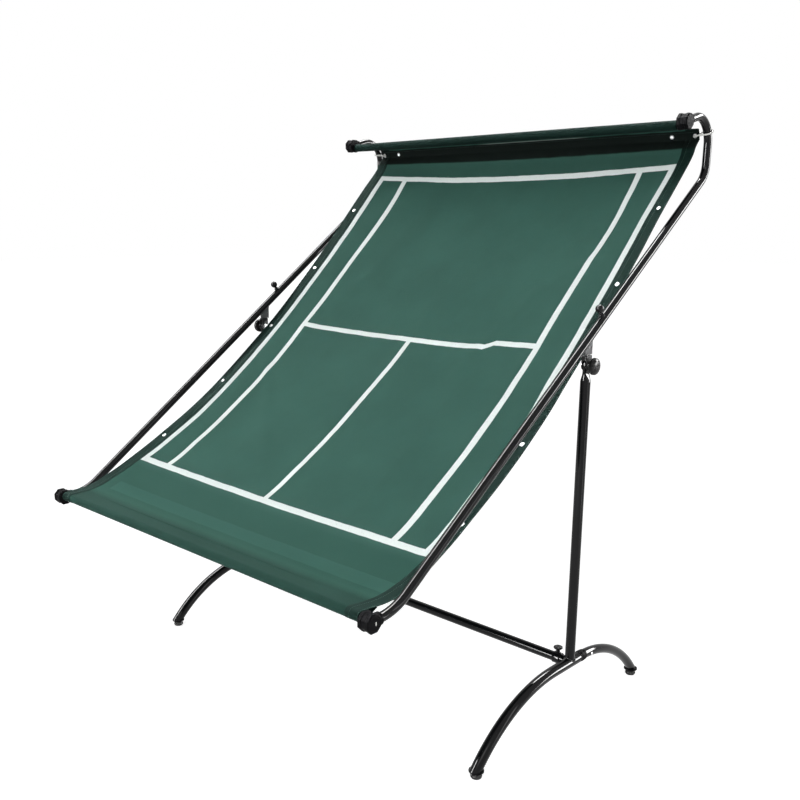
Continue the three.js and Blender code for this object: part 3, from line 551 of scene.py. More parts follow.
class Finish(Nodes):
    """A material under construction."""

    def __init__(self, name):
        self.material = bpy.data.materials.new(name)
        self.material.use_nodes = True
        super().__init__(self.material.node_tree)
        self.tree.nodes.clear()
        self.place = self.add("ShaderNodeTexCoord", output="Object")

    def noise(self, scale, detail=2.0, roughness=0.5, place=None):
        inputs = {"Vector": place or self.place, "Scale": scale, "Detail": detail, "Roughness": roughness}
        return self.add("ShaderNodeTexNoise", {}, inputs)

    def mix(self, factor, first, second):
        """Between two colours."""
        colours = [c if isinstance(c, Value) else (*c[:3], 1.0) for c in (first, second)]
        settings = {"data_type": "RGBA"}
        return self.add("ShaderNodeMix", settings, {0: factor, 6: colours[0], 7: colours[1]}, 2)

    def shades(self, colour, low, high, scale, detail=3.0):
        """A colour that wanders between two brightnesses."""
        drift = ((self.noise(scale, detail) - 0.35) * 3.0).clamped()
        dark = tuple(c * low for c in colour[:3])
        light = tuple(c * high for c in colour[:3])
        return self.mix(drift, dark, light)

    def bump(self, height, distance, strength=1.0):
        inputs = {"Height": height, "Distance": distance, "Strength": strength}
        return self.add("ShaderNodeBump", {}, inputs)

    def surface(self, inputs):
        shader = self.add("ShaderNodeBsdfPrincipled", {}, inputs)
        self.add("ShaderNodeOutputMaterial", {}, {"Surface": shader})
        return self.material


# Finishes

def gloss_paint(colour):
    """Smooth coat on steel tube, with faint waves, a little dust and fine scuffs."""
    f = Finish("gloss_black_paint")
    dust = ((f.noise(9.0, 5.0, 0.6) - 0.52) * 4.0).clamped() * ((f.noise(900.0, 2.0) - 0.45) * 3.0).clamped()
    scuffs = ((f.noise(60.0, 6.0, 0.7) - 0.6) * 6.0).clamped()
    waves = f.noise(160.0, 1.0)
    tint = f.mix(dust * 0.12, f.shades(colour, 0.8, 1.25, 14.0), (0.07, 0.07, 0.07))
    return f.surface({
        "Base Color": tint,
        "Roughness": 0.05 + f.noise(22.0, 3.0) * 0.05 + dust * 0.2 + scuffs * 0.14,
        "Specular IOR Level": 0.16,
        "Normal": f.bump(waves + f.noise(1400.0, 2.0) * 0.12, 0.0002, 0.15),
    })


def moulded(name, colour, roughness=0.48, grain=2600.0, shine=0.02):
    """Black moulded plastic with a fine grain and rubbed high spots."""
    f = Finish(name)
    wear_and_painted_highlight = ((f.noise(70.0, 5.0, 0.65) - 0.5) * 4.0).clamped()
    tint = f.mix(wear_and_painted_highlight * 0.3, f.shades(colour, 0.75, 1.3, 40.0), tuple(c * 2.0 + 0.006 for c in colour[:3]))
    return f.surface({
        "Base Color": tint,
        "Roughness": roughness + wear_and_painted_highlight * 0.12 - f.noise(180.0) * 0.12,
        "Specular IOR Level": shine,
        "Normal": f.bump(f.noise(grain, 3.0, 0.6), 0.00018, 0.5),
    })


def satin_steel(name, colour, metal=0.0):
    f = Finish(name)
    brushed = f.add("ShaderNodeMapping", {}, {"Vector": f.place, "Scale": (12.0, 40.0, 900.0)})
    grain = f.noise(6.0, 4.0, 0.6, brushed)
    return f.surface({
        "Base Color": f.shades(colour, 0.85, 1.12, 45.0),
        "Metallic": metal,
        "Specular IOR Level": 0.2,
        "Roughness": 0.28 + grain * 0.16 + f.noise(60.0, 3.0) * 0.12,
        "Normal": f.bump(grain, 0.0001, 0.4),
    })


def rubber(colour):
    f = Finish("black_rubber")
    dusty = ((f.noise(120.0, 5.0, 0.7) - 0.45) * 3.0).clamped()
    return f.surface({
        "Base Color": f.mix(dusty * 0.3, colour, (0.07, 0.068, 0.065)),
        "Roughness": 0.78 + dusty * 0.15,
        "Normal": f.bump(f.noise(1500.0, 3.0), 0.0003, 0.5),
    })


def weld_metal(colour):
    """Painted weld: lumpy, with a coat that pools between the ripples."""
    f = Finish("painted_weld")
    lumps = f.noise(420.0, 3.0, 0.6)
    return f.surface({
        "Base Color": f.shades(colour, 0.8, 1.4, 200.0),
        "Roughness": 0.3 + lumps * 0.2,
        "Normal": f.bump(lumps, 0.0006, 0.7),
    })


def cord_weave(colour):
    """Braided elastic: two crossing sets of yarns, from the cord's own lengths."""
    f = Finish("pale_elastic_braid")
    lay = f.add("ShaderNodeAttribute", {"attribute_name": "lay"}, {}, "Vector")
    along = f.add("ShaderNodeSeparateXYZ", {}, {0: lay})
    around = along.sibling(1)
    first = (around * 6.0 + along * 2400.0).sine()
    second = (around * 6.0 - along * 2400.0).sine()
    yarns = (first.over(second) + 1.0) * 0.5
    soil = ((f.noise(60.0, 4.0) - 0.5) * 3.0).clamped()
    braid = f.mix(yarns, tuple(c * 0.75 for c in colour[:3]), colour)
    return f.surface({
        "Base Color": f.mix(soil * 0.3, braid, (0.4, 0.39, 0.36)),
        "Roughness": 0.85 - yarns * 0.1,
        "Normal": f.bump(yarns, 0.0004, 0.7),
    })


def thread(colour):
    f = Finish("sewing_thread")
    twist = (f.noise(3000.0, 2.0) - 0.5) * 2.0
    return f.surface({
        "Base Color": f.shades(colour, 0.8, 1.2, 30.0),
        "Roughness": 0.6,
        "Normal": f.bump(twist, 0.0002, 0.4),
    })


# Printed lines, in metres: their two edges down the sheet from the crease, or out from its middle
COURT = (0.105, 1.552)
BASELINE = (0.095, 0.116)
SERVICE_LINE = (0.815, 0.834)
SERVICE_LINE_REACH = 0.48
SERVICE_STEP_START, SERVICE_STEP_RUN, SERVICE_STEP_RISE = 0.297, 0.032, 0.0205
NET_LINE = (1.542, 1.563)
SIDELINE = (0.584, 0.604)
INNER_SIDELINE = (0.473, 0.493)
CENTRE_LINE = (-0.009, 0.009)
CENTRE_LINE_RUN = (0.82, 1.55)
PRINT_BLUR = 0.0012

# Parts of the cloth with a colour set apart, in metres: the band and lip colours are painted shade under the top
# fold, and the side hems' colour is partly painted shadow of the rails. Each pair is an edge and how far it fades.
SIDE_HEM_START, SIDE_HEM_FADE = 0.6045, 0.0015
BAND_SHADE_END, BAND_SHADE_FADE = 0.044, 0.006
BAND_START, BAND_FADE = -0.022, 0.003
LIP_END, LIP_FADE = -0.024, 0.003
LEDGE_START, LEDGE_FADE = 1.57, 0.02
SLEEVE_START, SLEEVE_FADE = 1.735, 0.03
PATCH_DOWN, PATCH_ACROSS = (1.668, 1.712), (-0.56, 0.62)
YARN_FREQUENCY = 5200.0


def court_cloth(look, sizes):
    """Woven cloth with printed court lines, side hems darker from doubled cloth and from painted shadow of the
    rails, painted shade on the top band and lip, a painted highlight along the top fold, stitched seams, creases and
    wear.
    """
    f = Finish("green_court_cloth")
    spot = f.add("ShaderNodeAttribute", {"attribute_name": "on_cloth"}, {}, "Vector")
    x = f.add("ShaderNodeSeparateXYZ", {}, {0: spot})
    s, front = x.sibling(1), x.sibling(2)
    wander = (f.noise(18.0, 3.0) - 0.5) * 0.0035
    across = x + wander
    along = s + wander * 1.4

    def between(value, low, high, blur=PRINT_BLUR):
        middle, reach = (low + high) / 2, (high - low) / 2
        return ((reach - abs(value - middle)) / blur + 0.5).clamped()

    side = abs(across)
    court = between(along, *COURT)
    within = between(side, -0.61, SIDELINE[1])
    baseline = between(along, *BASELINE) * within
    outer = between(side, *SIDELINE) * court
    inner = between(side, *INNER_SIDELINE) * court
    stepped = along + ((x - SERVICE_STEP_START) / SERVICE_STEP_RUN).clamped() * SERVICE_STEP_RISE
    service = between(stepped, *SERVICE_LINE) * between(side, -0.5, SERVICE_LINE_REACH)
    centre = between(across, *CENTRE_LINE) * between(along, *CENTRE_LINE_RUN)
    net = between(along, *NET_LINE) * within
    lines = baseline.over(outer).over(inner).over(service).over(centre).over(net)
    worn = 1.0 - ((f.noise(240.0, 5.0, 0.75) - 0.56) * 5.0).clamped() * 0.35
    lines = lines * worn * (front * 0.94 + 0.06)

    # Hem mask: the side hems, whose dark colour is partly the doubled cloth and partly painted shadow of the rails.
    hem = ((side - SIDE_HEM_START) / SIDE_HEM_FADE).clamped()
    # Band mask: from the top fold to 44 mm down the face, painted shade under the overhanging lip.
    shade = ((BAND_SHADE_END - along) / BAND_SHADE_FADE).clamped()
    band = shade * ((along - BAND_START) / BAND_FADE).clamped()
    # Lip mask: the lip and top sleeve, coloured with painted shade of the lip's underside.
    lip = ((LIP_END - along) / LIP_FADE).clamped()
    patch = between(along, *PATCH_DOWN) * between(x, *PATCH_ACROSS)
    ledge = ((along - LEDGE_START) / LEDGE_FADE).clamped()
    sleeve = ((s - SLEEVE_START) / SLEEVE_FADE).clamped()

    warp = (x * YARN_FREQUENCY).sine()
    weft = (s * YARN_FREQUENCY).sine()
    weave = (warp * weft + 1.0) * 0.5
    slubs = f.add("ShaderNodeMapping", {}, {"Vector": spot, "Scale": (900.0, 26.0, 1.0)})
    streaks = f.noise(1.0, 3.0, 0.5, slubs)
    cross = f.add("ShaderNodeMapping", {}, {"Vector": spot, "Scale": (26.0, 900.0, 1.0)})
    crossing = f.noise(1.0, 3.0, 0.5, cross)

    base = f.shades(look.cloth, 0.93, 1.07, 5.0)
    base = f.mix((streaks + crossing - 0.75).clamped() * 0.35, base, tuple(c * 1.3 for c in look.cloth))
    base = f.mix(ledge * 0.75, base, look.ledge)
    base = f.mix(patch * 0.35, base, tuple(c * 1.5 for c in look.cloth))
    base = f.mix(sleeve * 0.75, base, tuple(c * 0.3 for c in look.ledge))
    # The hem colour is partly the doubled cloth and partly painted shadow of the rails.
    base = f.mix(hem, base, look.hem)
    # The band colour is painted shade under the lip.
    base = f.mix(band, base, look.band)
    # The lip colour is painted shade of the lip's underside.
    base = f.mix(lip, base, look.lip)
    # A painted highlight: a pale streak along the top fold stands in for a glint of light on the crease.
    wear_and_painted_highlight = between(s, -0.0215, -0.0195, 0.0006) * between(x, -0.15, 0.25, 0.06)
    base = f.mix(wear_and_painted_highlight * 0.85, base, (0.35, 0.38, 0.36))
    base = f.mix(lines, base, look.lines)
    stains = ((f.noise(7.0, 6.0, 0.65) - 0.58) * 3.0).clamped()
    base = f.mix(stains * 0.12, base, tuple(c * 0.6 for c in look.cloth))

    first = (BAND_ABOVE_FOOT + FIRST_EYELET) * MM
    pitch = EYELET_PITCH * MM
    number = ((s - first) / pitch).math("ROUND").over(0.0).under(EYELETS_PER_SIDE - 1.0)
    holes = [(SIDE_EYELET_X * MM, number * pitch + first)]
    holes += [(hole_x * MM, hole_s * MM) for hole_x, hole_s in end_eyelets()]
    open_to = 1.0
    for hole_x, hole_s in holes:
        away = (abs(x) - hole_x) ** 2.0 + (s - hole_s) ** 2.0
        open_to = away.under(open_to)

    crumple = f.noise(26.0, 4.0, 0.55)
    height = weave * 0.22 + streaks * 0.25 + crossing * 0.2 + lines * 0.35 + hem * 0.6 + crumple * 0.9
    return f.surface({
        "Base Color": base,
        "Roughness": 0.7 - lines * 0.18 + weave * 0.06,
        "Specular IOR Level": 0.05,
        "Alpha": ((open_to - sizes.eyelet_hole ** 2) / 1e-6).clamped(),
        "Normal": f.bump(height, 0.0009, 0.55),
    })


# Geometry node trees

def node_group(name, lengths):
    """An empty geometry tree that takes named lengths and a material. Returns its nodes and what it is given."""
    tree = bpy.data.node_groups.new(name, "GeometryNodeTree")
    tree.interface.new_socket("Geometry", in_out="INPUT", socket_type="NodeSocketGeometry")
    for label in lengths:
        tree.interface.new_socket(label, in_out="INPUT", socket_type="NodeSocketFloat")
    tree.interface.new_socket("Material", in_out="INPUT", socket_type="NodeSocketMaterial")
    tree.interface.new_socket("Geometry", in_out="OUTPUT", socket_type="NodeSocketGeometry")
    nodes = Nodes(tree)
    source = tree.nodes.new("NodeGroupInput")
    return nodes, {socket.name: Value(nodes, socket) for socket in source.outputs if socket.name}


def close_group(nodes, instances, material):
    whole = nodes.add("GeometryNodeRealizeInstances", {}, {0: instances})
    painted = nodes.add("GeometryNodeSetMaterial", {}, {"Geometry": whole, "Material": material})
    out = nodes.tree.nodes.new("NodeGroupOutput")
    nodes.tree.links.new(painted.socket, out.inputs[0])
    return nodes.tree


def stitch_tree():
    """Stitches along a seam line, each lying along it."""
    nodes, given = node_group("stitch_row", ("Pitch", "Length", "Thickness"))
    seam = nodes.add("GeometryNodeMeshToCurve", {}, {"Mesh": given["Geometry"]})
    stops = nodes.add("GeometryNodeResampleCurve", {"mode": "LENGTH"}, {"Curve": seam, "Length": given["Pitch"]})
    tangent = nodes.add("GeometryNodeInputTangent")
    facing = nodes.add("FunctionNodeAlignRotationToVector", {"axis": "Z"}, {"Vector": tangent})
    ball = nodes.add("GeometryNodeMeshUVSphere", {}, {"Segments": 6, "Rings": 5, "Radius": 0.5})
    size = nodes.add("ShaderNodeCombineXYZ", {}, {0: given["Thickness"], 1: given["Thickness"], 2: given["Length"]})
    inputs = {"Points": stops, "Instance": ball, "Rotation": facing, "Scale": size}
    return close_group(nodes, nodes.add("GeometryNodeInstanceOnPoints", {}, inputs), given["Material"])


def eyelet_tree():
    """Pressed eyelets on points that say which way they face."""
    nodes, given = node_group("pressed_eyelet", ("Hole Radius", "Flange Radius", "Thickness"))
    middle = (given["Hole Radius"] + given["Flange Radius"]) * 0.5
    breadth = given["Flange Radius"] - given["Hole Radius"]
    ring = nodes.add("GeometryNodeCurvePrimitiveCircle", {}, {"Resolution": 28, "Radius": middle})
    section = nodes.add("GeometryNodeCurvePrimitiveCircle", {}, {"Resolution": 10, "Radius": 0.5})
    size = nodes.add("ShaderNodeCombineXYZ", {}, {0: breadth, 1: given["Thickness"], 2: 1.0})
    flat = nodes.add("GeometryNodeTransform", {}, {"Geometry": section, "Scale": size})
    body = nodes.add("GeometryNodeCurveToMesh", {}, {"Curve": ring, "Profile Curve": flat})
    facing = nodes.add("GeometryNodeInputNamedAttribute", {"data_type": "FLOAT_VECTOR"}, {"Name": "facing"})
    turn = nodes.add("FunctionNodeAlignRotationToVector", {"axis": "Z"}, {"Vector": facing})
    points = nodes.add("GeometryNodeMeshToPoints", {}, {"Mesh": given["Geometry"]})
    inputs = {"Points": points, "Instance": body, "Rotation": turn}
    return close_group(nodes, nodes.add("GeometryNodeInstanceOnPoints", {}, inputs), given["Material"])


def grown(name, mesh, tree, values):
    """A piece that a geometry tree makes from a mesh, as a plain mesh with no modifier left."""
    piece = placed(name, mesh)
    modifier = piece.modifiers.new("tree", "NODES")
    modifier.node_group = tree
    for socket in tree.interface.items_tree:
        if socket.in_out == "INPUT" and socket.name in values:
            modifier[socket.identifier] = values[socket.name]
    bpy.context.view_layer.update()
    graph = bpy.context.evaluated_depsgraph_get()
    result = bpy.data.meshes.new_from_object(piece.evaluated_get(graph), depsgraph=graph)
    piece.modifiers.remove(modifier)
    piece.data = result
    piece.data.name = name
    return piece


def seam_mesh(name, lines):
    """Seam lines, each a row of points in millimetres, as one mesh of edges."""
    points, edges = [], []
    for line in lines:
        first = len(points)
        points += [tuple(np.array(p) * MM) for p in line]
        edges += [(first + i, first + i + 1) for i in range(len(line) - 1)]
    mesh = bpy.data.meshes.new(name)
    mesh.from_pydata(points, edges, [])
    return mesh


# Routes of the tubes

def foot_route():
    drop = CREST_Z - FOOT_TUBE_END
    front = math.acos(1 - drop / FRONT_BEND)
    back = math.acos(1 - drop / BACK_BEND)
    front_end = -CREST_FRONT - FRONT_BEND * math.sin(front)
    start = (front_end - CUT_TAIL * math.cos(front), FOOT_TUBE_END - CUT_TAIL * math.sin(front))
    route = Route(*start, front, (
        (CUT_TAIL, 0, 0),
        (0, -front, FRONT_BEND),
        (CREST_FRONT + CREST_BACK, 0, 0),
        (0, -back, BACK_BEND),
        (CUT_TAIL, 0, 0),
    ))
    route.post = CUT_TAIL + front * FRONT_BEND + CREST_FRONT
    route.front_y = PIVOT_Y + front_end
    route.back_y = PIVOT_Y + CREST_BACK + BACK_BEND * math.sin(back)
    return route.turned(0.0, PIVOT_Y, 0.0)


def rail_route():
    toe_tangent = TOE_BEND_RADIUS * math.tan(TILT / 2)
    knee_tangent = KNEE_RADIUS * math.tan(KNEE_BEND / 2)
    start = (-TOE_CORNER - TOE_REACH * math.cos(TILT), RAIL_OFFSET + TOE_REACH * math.sin(TILT))
    route = Route(*start, -TILT, (
        (TOE_REACH - toe_tangent, 0, 0),
        (0, TILT, TOE_BEND_RADIUS),
        (TOE_CORNER + KNEE_CORNER - toe_tangent - knee_tangent, 0, 0),
        (0, KNEE_BEND, KNEE_RADIUS),
        (RISER_REACH - knee_tangent, 0, 0),
        (0, HOOK_SWEEP, HOOK_RADIUS),
        (HOOK_REACH, 0, 0),
    ))
    straight = TOE_REACH - toe_tangent + TILT * TOE_BEND_RADIUS - toe_tangent + TOE_CORNER
    route.joint = straight + RAIL_JOINT
    route.hook = straight + KNEE_CORNER - knee_tangent + KNEE_BEND * KNEE_RADIUS + RISER_REACH - knee_tangent
    return route.turned(TILT, PIVOT_Y, PIVOT_Z)


FOOT = foot_route()
RAIL = rail_route()
BOTTOM_TIP = RAIL.at(0)
TOP_TIP = RAIL.at(RAIL.length)
BOTTOM_BAR = beside(BOTTOM_TIP, BOTTOM_BAR_OFFSET)
TOP_BAR = beside(TOP_TIP, TOP_BAR_OFFSET)


def from_panel(y, z):
    """A place in the panel's frame as it lies at rest."""
    return (PIVOT_Y + y * math.cos(TILT) - z * math.sin(TILT), PIVOT_Z + y * math.sin(TILT) + z * math.cos(TILT))


# The sheet's surface

class SheetForm:
    """Rows of the sheet from sleeve to sleeve, for its left and right edges, and the surface between them."""

    face_steps = 20
    wrap_steps = 22

    def __init__(self):
        knee = np.array(from_panel(KNEE_CORNER, RAIL_OFFSET))
        self.crease = knee + (-CREASE_INSET, CREASE_RISE)
        self.fold = knee + (-FOLD_INSET, FOLD_RISE)
        self.foot = knee + (-CREASE_INSET, BAND_RISE)
        left, right = self.edge(-1), self.edge(1)
        self.left, self.right = left[0], right[0]
        self.face_share = left[1]
        self.cross = left[3]
        mean = (self.left + self.right) / 2
        self.s = run_along(mean)
        self.length = self.s[-1]
        # From here on s is the distance down the sheet from the crease
        self.s -= self.s[left[2]] - np.linalg.norm(self.crease - self.foot)
        self.hem_row = np.interp(1.0, self.face_share, self.s) - HEM_ROW_INSET
        drawn = spline(DRAWN_ROWS, 8)
        self.drawn_s, self.drawn_table = drawn[:, 0], drawn[:, 1:]

    def wrapped(self, centre, start, end):
        """Round a sleeve from one angle to another."""
        angles = np.linspace(start, end, self.wrap_steps + 1)
        return np.array([
            (centre[0] + SLEEVE_MIDDLE * math.cos(a), centre[1] + SLEEVE_MIDDLE * math.sin(a)) for a in angles])

    @staticmethod
    def touch(centre, point, side):
        away = np.array(point) - np.array(centre)
        return math.atan2(away[1], away[0]) + side * math.acos(SLEEVE_MIDDLE / np.hypot(*away))

    def edge(self, sign):
        top, bottom = np.array(TOP_BAR[:2]), np.array(BOTTOM_BAR[:2])
        chord = bottom + (0, SLEEVE_MIDDLE) - self.crease
        reach = np.hypot(*chord)
        square = np.array((-chord[1], chord[0])) / reach
        knots = [self.crease + chord * way + square * (sag + more * sign) * reach
                 for way, sag, more, _ in SAG_SHARES]

        lip_angle = self.touch(top, self.fold, -1)
        lip_start = self.wrapped(top, lip_angle, lip_angle)[0]
        toward = (self.fold - lip_start) / np.hypot(*(self.fold - lip_start))
        above = np.array((-toward[1], toward[0]))
        seam = lip_start + toward * TOP_HEM + above * 1.9
        seam_angle = self.touch(top, seam, 1)
        top_wrap = self.wrapped(top, seam_angle, lip_angle + FULL_TURN)
        seam_run = seam + (top_wrap[0] - seam) * np.linspace(0, 1, 5)[:-1, None]

        down = (self.foot - self.fold) / np.hypot(*(self.foot - self.fold))
        before, after = self.fold - toward * FOLD_ROUND, self.fold + down * FOLD_ROUND
        lip = lip_start + (before - lip_start) * np.linspace(0, 1, 13)[1:, None]
        t = np.linspace(0, 1, 9)[1:, None]
        bend = before * (1 - t) ** 2 + self.fold * 2 * t * (1 - t) + after * t ** 2
        band = after + (self.foot - after) * np.linspace(0, 1, 5)[1:, None]

        face_angle = self.touch(bottom, knots[-1], 1)
        face_end = self.wrapped(bottom, face_angle, face_angle)[0]
        face = spline([self.foot, *knots, face_end], self.face_steps)[1:]
        face_cross = spline([(0.0,), *((cross,) for *_, cross in SAG_SHARES), (0.0,)], self.face_steps)[1:, 0]
        back = (knots[-1] - face_end) / np.hypot(*(knots[-1] - face_end))
        below = np.array((back[1], -back[0]))
        hem = face_end + back * BOTTOM_HEM + below * 2.2
        hem_angle = self.touch(bottom, hem, -1)
        bottom_wrap = self.wrapped(bottom, face_angle, hem_angle + FULL_TURN)[1:]
        hem_run = bottom_wrap[-1] + (hem - bottom_wrap[-1]) * np.linspace(0, 1, 5)[1:, None]

        before_face = len(seam_run) + len(top_wrap) + len(lip) + len(bend) + len(band)
        after_face = len(bottom_wrap) + len(hem_run)
        runs = run_along(np.vstack([band[-1:], face]))
        share = np.concatenate([np.zeros(before_face), runs[1:] / runs[-1], np.ones(after_face)])
        rows = np.vstack([seam_run, top_wrap, lip, bend, band, face, bottom_wrap, hem_run])
        cross = np.concatenate([np.zeros(before_face), face_cross, np.zeros(after_face)])
        return rows, share, before_face - 1, cross

    # Folds left from storage and soft creases, each as its course in x and s, its width, its height, and how sharp
    creases = (
        (((0, 60), (4, 420), (-3, 820), (0, 1640)), 5, 0.55, True),
        (((-302, 60), (-298, 700), (-304, 1640)), 5, 0.5, True),
        (((300, 60), (297, 800), (302, 1640)), 5, 0.45, True),
        (((-600, 334), (-200, 326), (250, 322), (600, 330)), 6, 0.45, True),
        (((-600, 842), (0, 846), (600, 838)), 6, 0.4, True),
        (((-600, 1352), (0, 1347), (600, 1350)), 6, 0.35, True),
        (((-560, 985), (-430, 1120), (-335, 1222), (-265, 1305), (-125, 1440)), 20, 3.4, False),
        (((520, 420), (450, 500), (372, 585), (305, 757), (268, 850), (262, 1010)), 22, 3.2, False),
        (((470, 315), (385, 397), (350, 463), (330, 520)), 8, 1.7, True),
        (((330, 325), (300, 340), (236, 384)), 8, 1.2, True),
        (((-330, 300), (-350, 520), (-430, 760)), 20, 2.0, False),
        (((560, 900), (480, 1080), (430, 1260)), 22, 1.8, False),
        (((-60, 500), (-150, 640), (-190, 800)), 24, 1.6, False),
        (((60, 1210), (190, 1330), (240, 1470)), 20, 1.5, False),
    )

    @staticmethod
    def off_course(course, x, s):
        """Distance of places from a course, with the distance along it."""
        nearest = np.full(x.shape, np.inf)
        ahead = np.zeros(x.shape)
        passed = 0.0
        for start, end in zip(np.array(course, float), np.array(course[1:], float)):
            run = end - start
            long = np.hypot(*run)
            run /= long
            along = np.clip((x - start[0]) * run[0] + (s - start[1]) * run[1], 0, long)
            away = np.hypot(x - start[0] - run[0] * along, s - start[1] - run[1] * along)
            closer = away < nearest
            ahead = np.where(closer, passed + along, ahead)
            nearest = np.minimum(nearest, away)
            passed += long
        return nearest, ahead, passed

    def relief(self, x, s):
        """Height of the creases and slow waves of the cloth, towards the player."""
        height = 1.4 * np.sin(x / 97 + s / 160) * np.sin(s / 210 - x / 310) + 0.6 * np.sin(x / 41 - s / 73)
        height = height * np.clip(s / 150, 0, 1) * np.clip((1650 - s) / 200, 0, 1)
        for course, width, rise, sharp in self.creases:
            off, ahead, long = self.off_course(course, x + 3 * np.sin(s / 47), s + 4 * np.sin(x / 39))
            ends = np.clip(ahead / 60, 0, 1) * np.clip((long - ahead) / 60, 0, 1)
            shape = np.exp(-off / width) if sharp else np.exp(-(off / width) ** 2)
            height = height + rise * ends * shape * (0.75 + 0.25 * np.sin(ahead / 33))
        return height + 0.7 * np.exp(-((s - self.hem_row) / 30) ** 2) * np.sin(x / 9.0)

    def drawn(self, x, s):
        """How far the cloth has slid to the right."""
        slides = np.array([np.interp(s, self.drawn_s, column) for column in self.drawn_table.T])
        place = np.interp(x, DRAWN_ACROSS, range(len(DRAWN_ACROSS)))
        low = np.clip(place.astype(int), 0, len(DRAWN_ACROSS) - 2)
        before, after = (np.take_along_axis(slides, i[None], 0)[0] for i in (low, low + 1))
        return before + (after - before) * (place - low)

    def surface(self, x, s, height=0.0):
        """Point of the cloth's middle at x and s, moved towards the player by a height."""
        x, s = np.broadcast_arrays(np.asarray(x, float), np.asarray(s, float))
        mix = (x / SHEET_HALF_WIDTH + 1) / 2
        rows = np.array([np.interp(s, self.s, edge[:, i]) for edge in (self.left, self.right) for i in (0, 1)])
        y = rows[0] * (1 - mix) + rows[2] * mix
        z = rows[1] * (1 - mix) + rows[3] * mix
        mean = (self.left + self.right) / 2
        slope = np.gradient(mean, self.s, axis=0)
        along = np.array([np.interp(s, self.s, slope[:, i]) for i in (0, 1)])
        along /= np.hypot(*along)
        share = np.interp(s, self.s, self.face_share)
        across = x / SHEET_HALF_WIDTH
        sag = CROSS_SAG * (1 - across ** 2) * np.interp(s, self.s, self.cross)
        lift = height + self.relief(x, s) * (share > 0) * (share < 1) - sag
        return np.stack([x + self.drawn(x, s), y + along[1] * lift, z - along[0] * lift], -1)

    def facing(self, x, s):
        """Direction that the cloth faces, towards the player."""
        here = self.surface(x, s)
        side = self.surface(x + 4, s) - here
        down = self.surface(x, s + 4) - here
        normal = np.cross(down, side)
        return normal / np.linalg.norm(normal)


CLOTH = SheetForm()


# Sizes and colours that a user would change

def length_setting(label, description, default):
    return bpy.props.FloatProperty(name=label, description=description, default=default, unit="LENGTH")


def colour_setting(label, description, default):
    return bpy.props.FloatVectorProperty(
        name=label, description=description, subtype="COLOR", size=3, min=0.0, max=1.0, default=default)


class NetSizes(bpy.types.PropertyGroup):
    """Sizes of the net's tubes, cloth edges and small parts."""

    post_radius: length_setting("Post radius", "Outer radius of the upright posts", 0.014)
    foot_front_radius: length_setting("Front arch radius", "Outer radius of the front half of a foot", 0.016)
    foot_back_radius: length_setting("Back arch radius", "Outer radius of the back half of a foot", 0.014)
    stretcher_radius: length_setting("Stretcher radius", "Outer radius of the stretcher", 0.014)
    rail_radius: length_setting("Rail radius", "Outer radius of the side rails", 0.012)
    bar_radius: length_setting("Crossbar radius", "Outer radius of the two crossbars", 0.011)
    knob_radius: length_setting("Pivot knob radius", "Radius of the clamping knob at the pivot", 0.023)
    ball_radius: length_setting("Ball knob radius", "Radius of the ball knob on the rail", 0.0115)
    cord_radius: length_setting("Cord radius", "Radius of the elastic corner cords", 0.0024)
    cloth_thickness: length_setting("Cloth thickness", "Thickness of the sheet", 0.0012)
    stitch_pitch: length_setting("Stitch pitch", "Distance from one stitch to the next", 0.0055)
    eyelet_hole: length_setting("Eyelet hole radius", "Radius of the hole in each eyelet", 0.0036)
    eyelet_flange: length_setting("Eyelet flange radius", "Outer radius of each eyelet", 0.0068)


class NetColours(bpy.types.PropertyGroup):
    """Colours of the net's finishes."""

    cloth: colour_setting("Cloth", "Face of the sheet", (0.036, 0.094, 0.0755))
    ledge: colour_setting("Ledge", "Cloth below the net line", (0.0255, 0.073, 0.057))
    # The side hems' dark colour is partly the doubled cloth and partly painted shadow of the rails.
    hem: colour_setting("Side hems", "Doubled side edges of the sheet", (0.0046, 0.0135, 0.0108))
    # The band colour is painted shade: the dark under the overhanging lip, carried onto the face below the band.
    band: colour_setting("Band", "Upright band under the top fold", (0.006, 0.009, 0.008))
    # The lip colour is painted shade: the lip's underside in deep shade, also used on the top sleeve.
    lip: colour_setting("Lip", "Lip and top sleeve", (0.005, 0.014, 0.0115))
    lines: colour_setting("Lines", "Printed court lines", (0.9, 0.97, 0.95))
    stitches: colour_setting("Stitches", "Sewing thread", (0.03, 0.07, 0.058))
    paint: colour_setting("Tube paint", "Gloss coat of the tubes", (0.004, 0.004, 0.0046))
    moulding: colour_setting("Mouldings", "Caps, knobs and corner pieces", (0.005, 0.005, 0.0056))
    bracket: colour_setting("Brackets", "Coat of the tilt brackets", (0.012, 0.012, 0.013))
    gusset: colour_setting("Gussets", "Coat of the gusset plates", (0.1, 0.1, 0.104))
    steel: colour_setting("Bright steel", "Eyelets, bolts, washers and snap buttons", (0.62, 0.62, 0.63))
    rubber: colour_setting("Pads", "Rubber of the levelling pads", (0.012, 0.012, 0.012))
    cord: colour_setting("Cords", "Elastic corner cords", (0.78, 0.78, 0.75))


finishes = {}


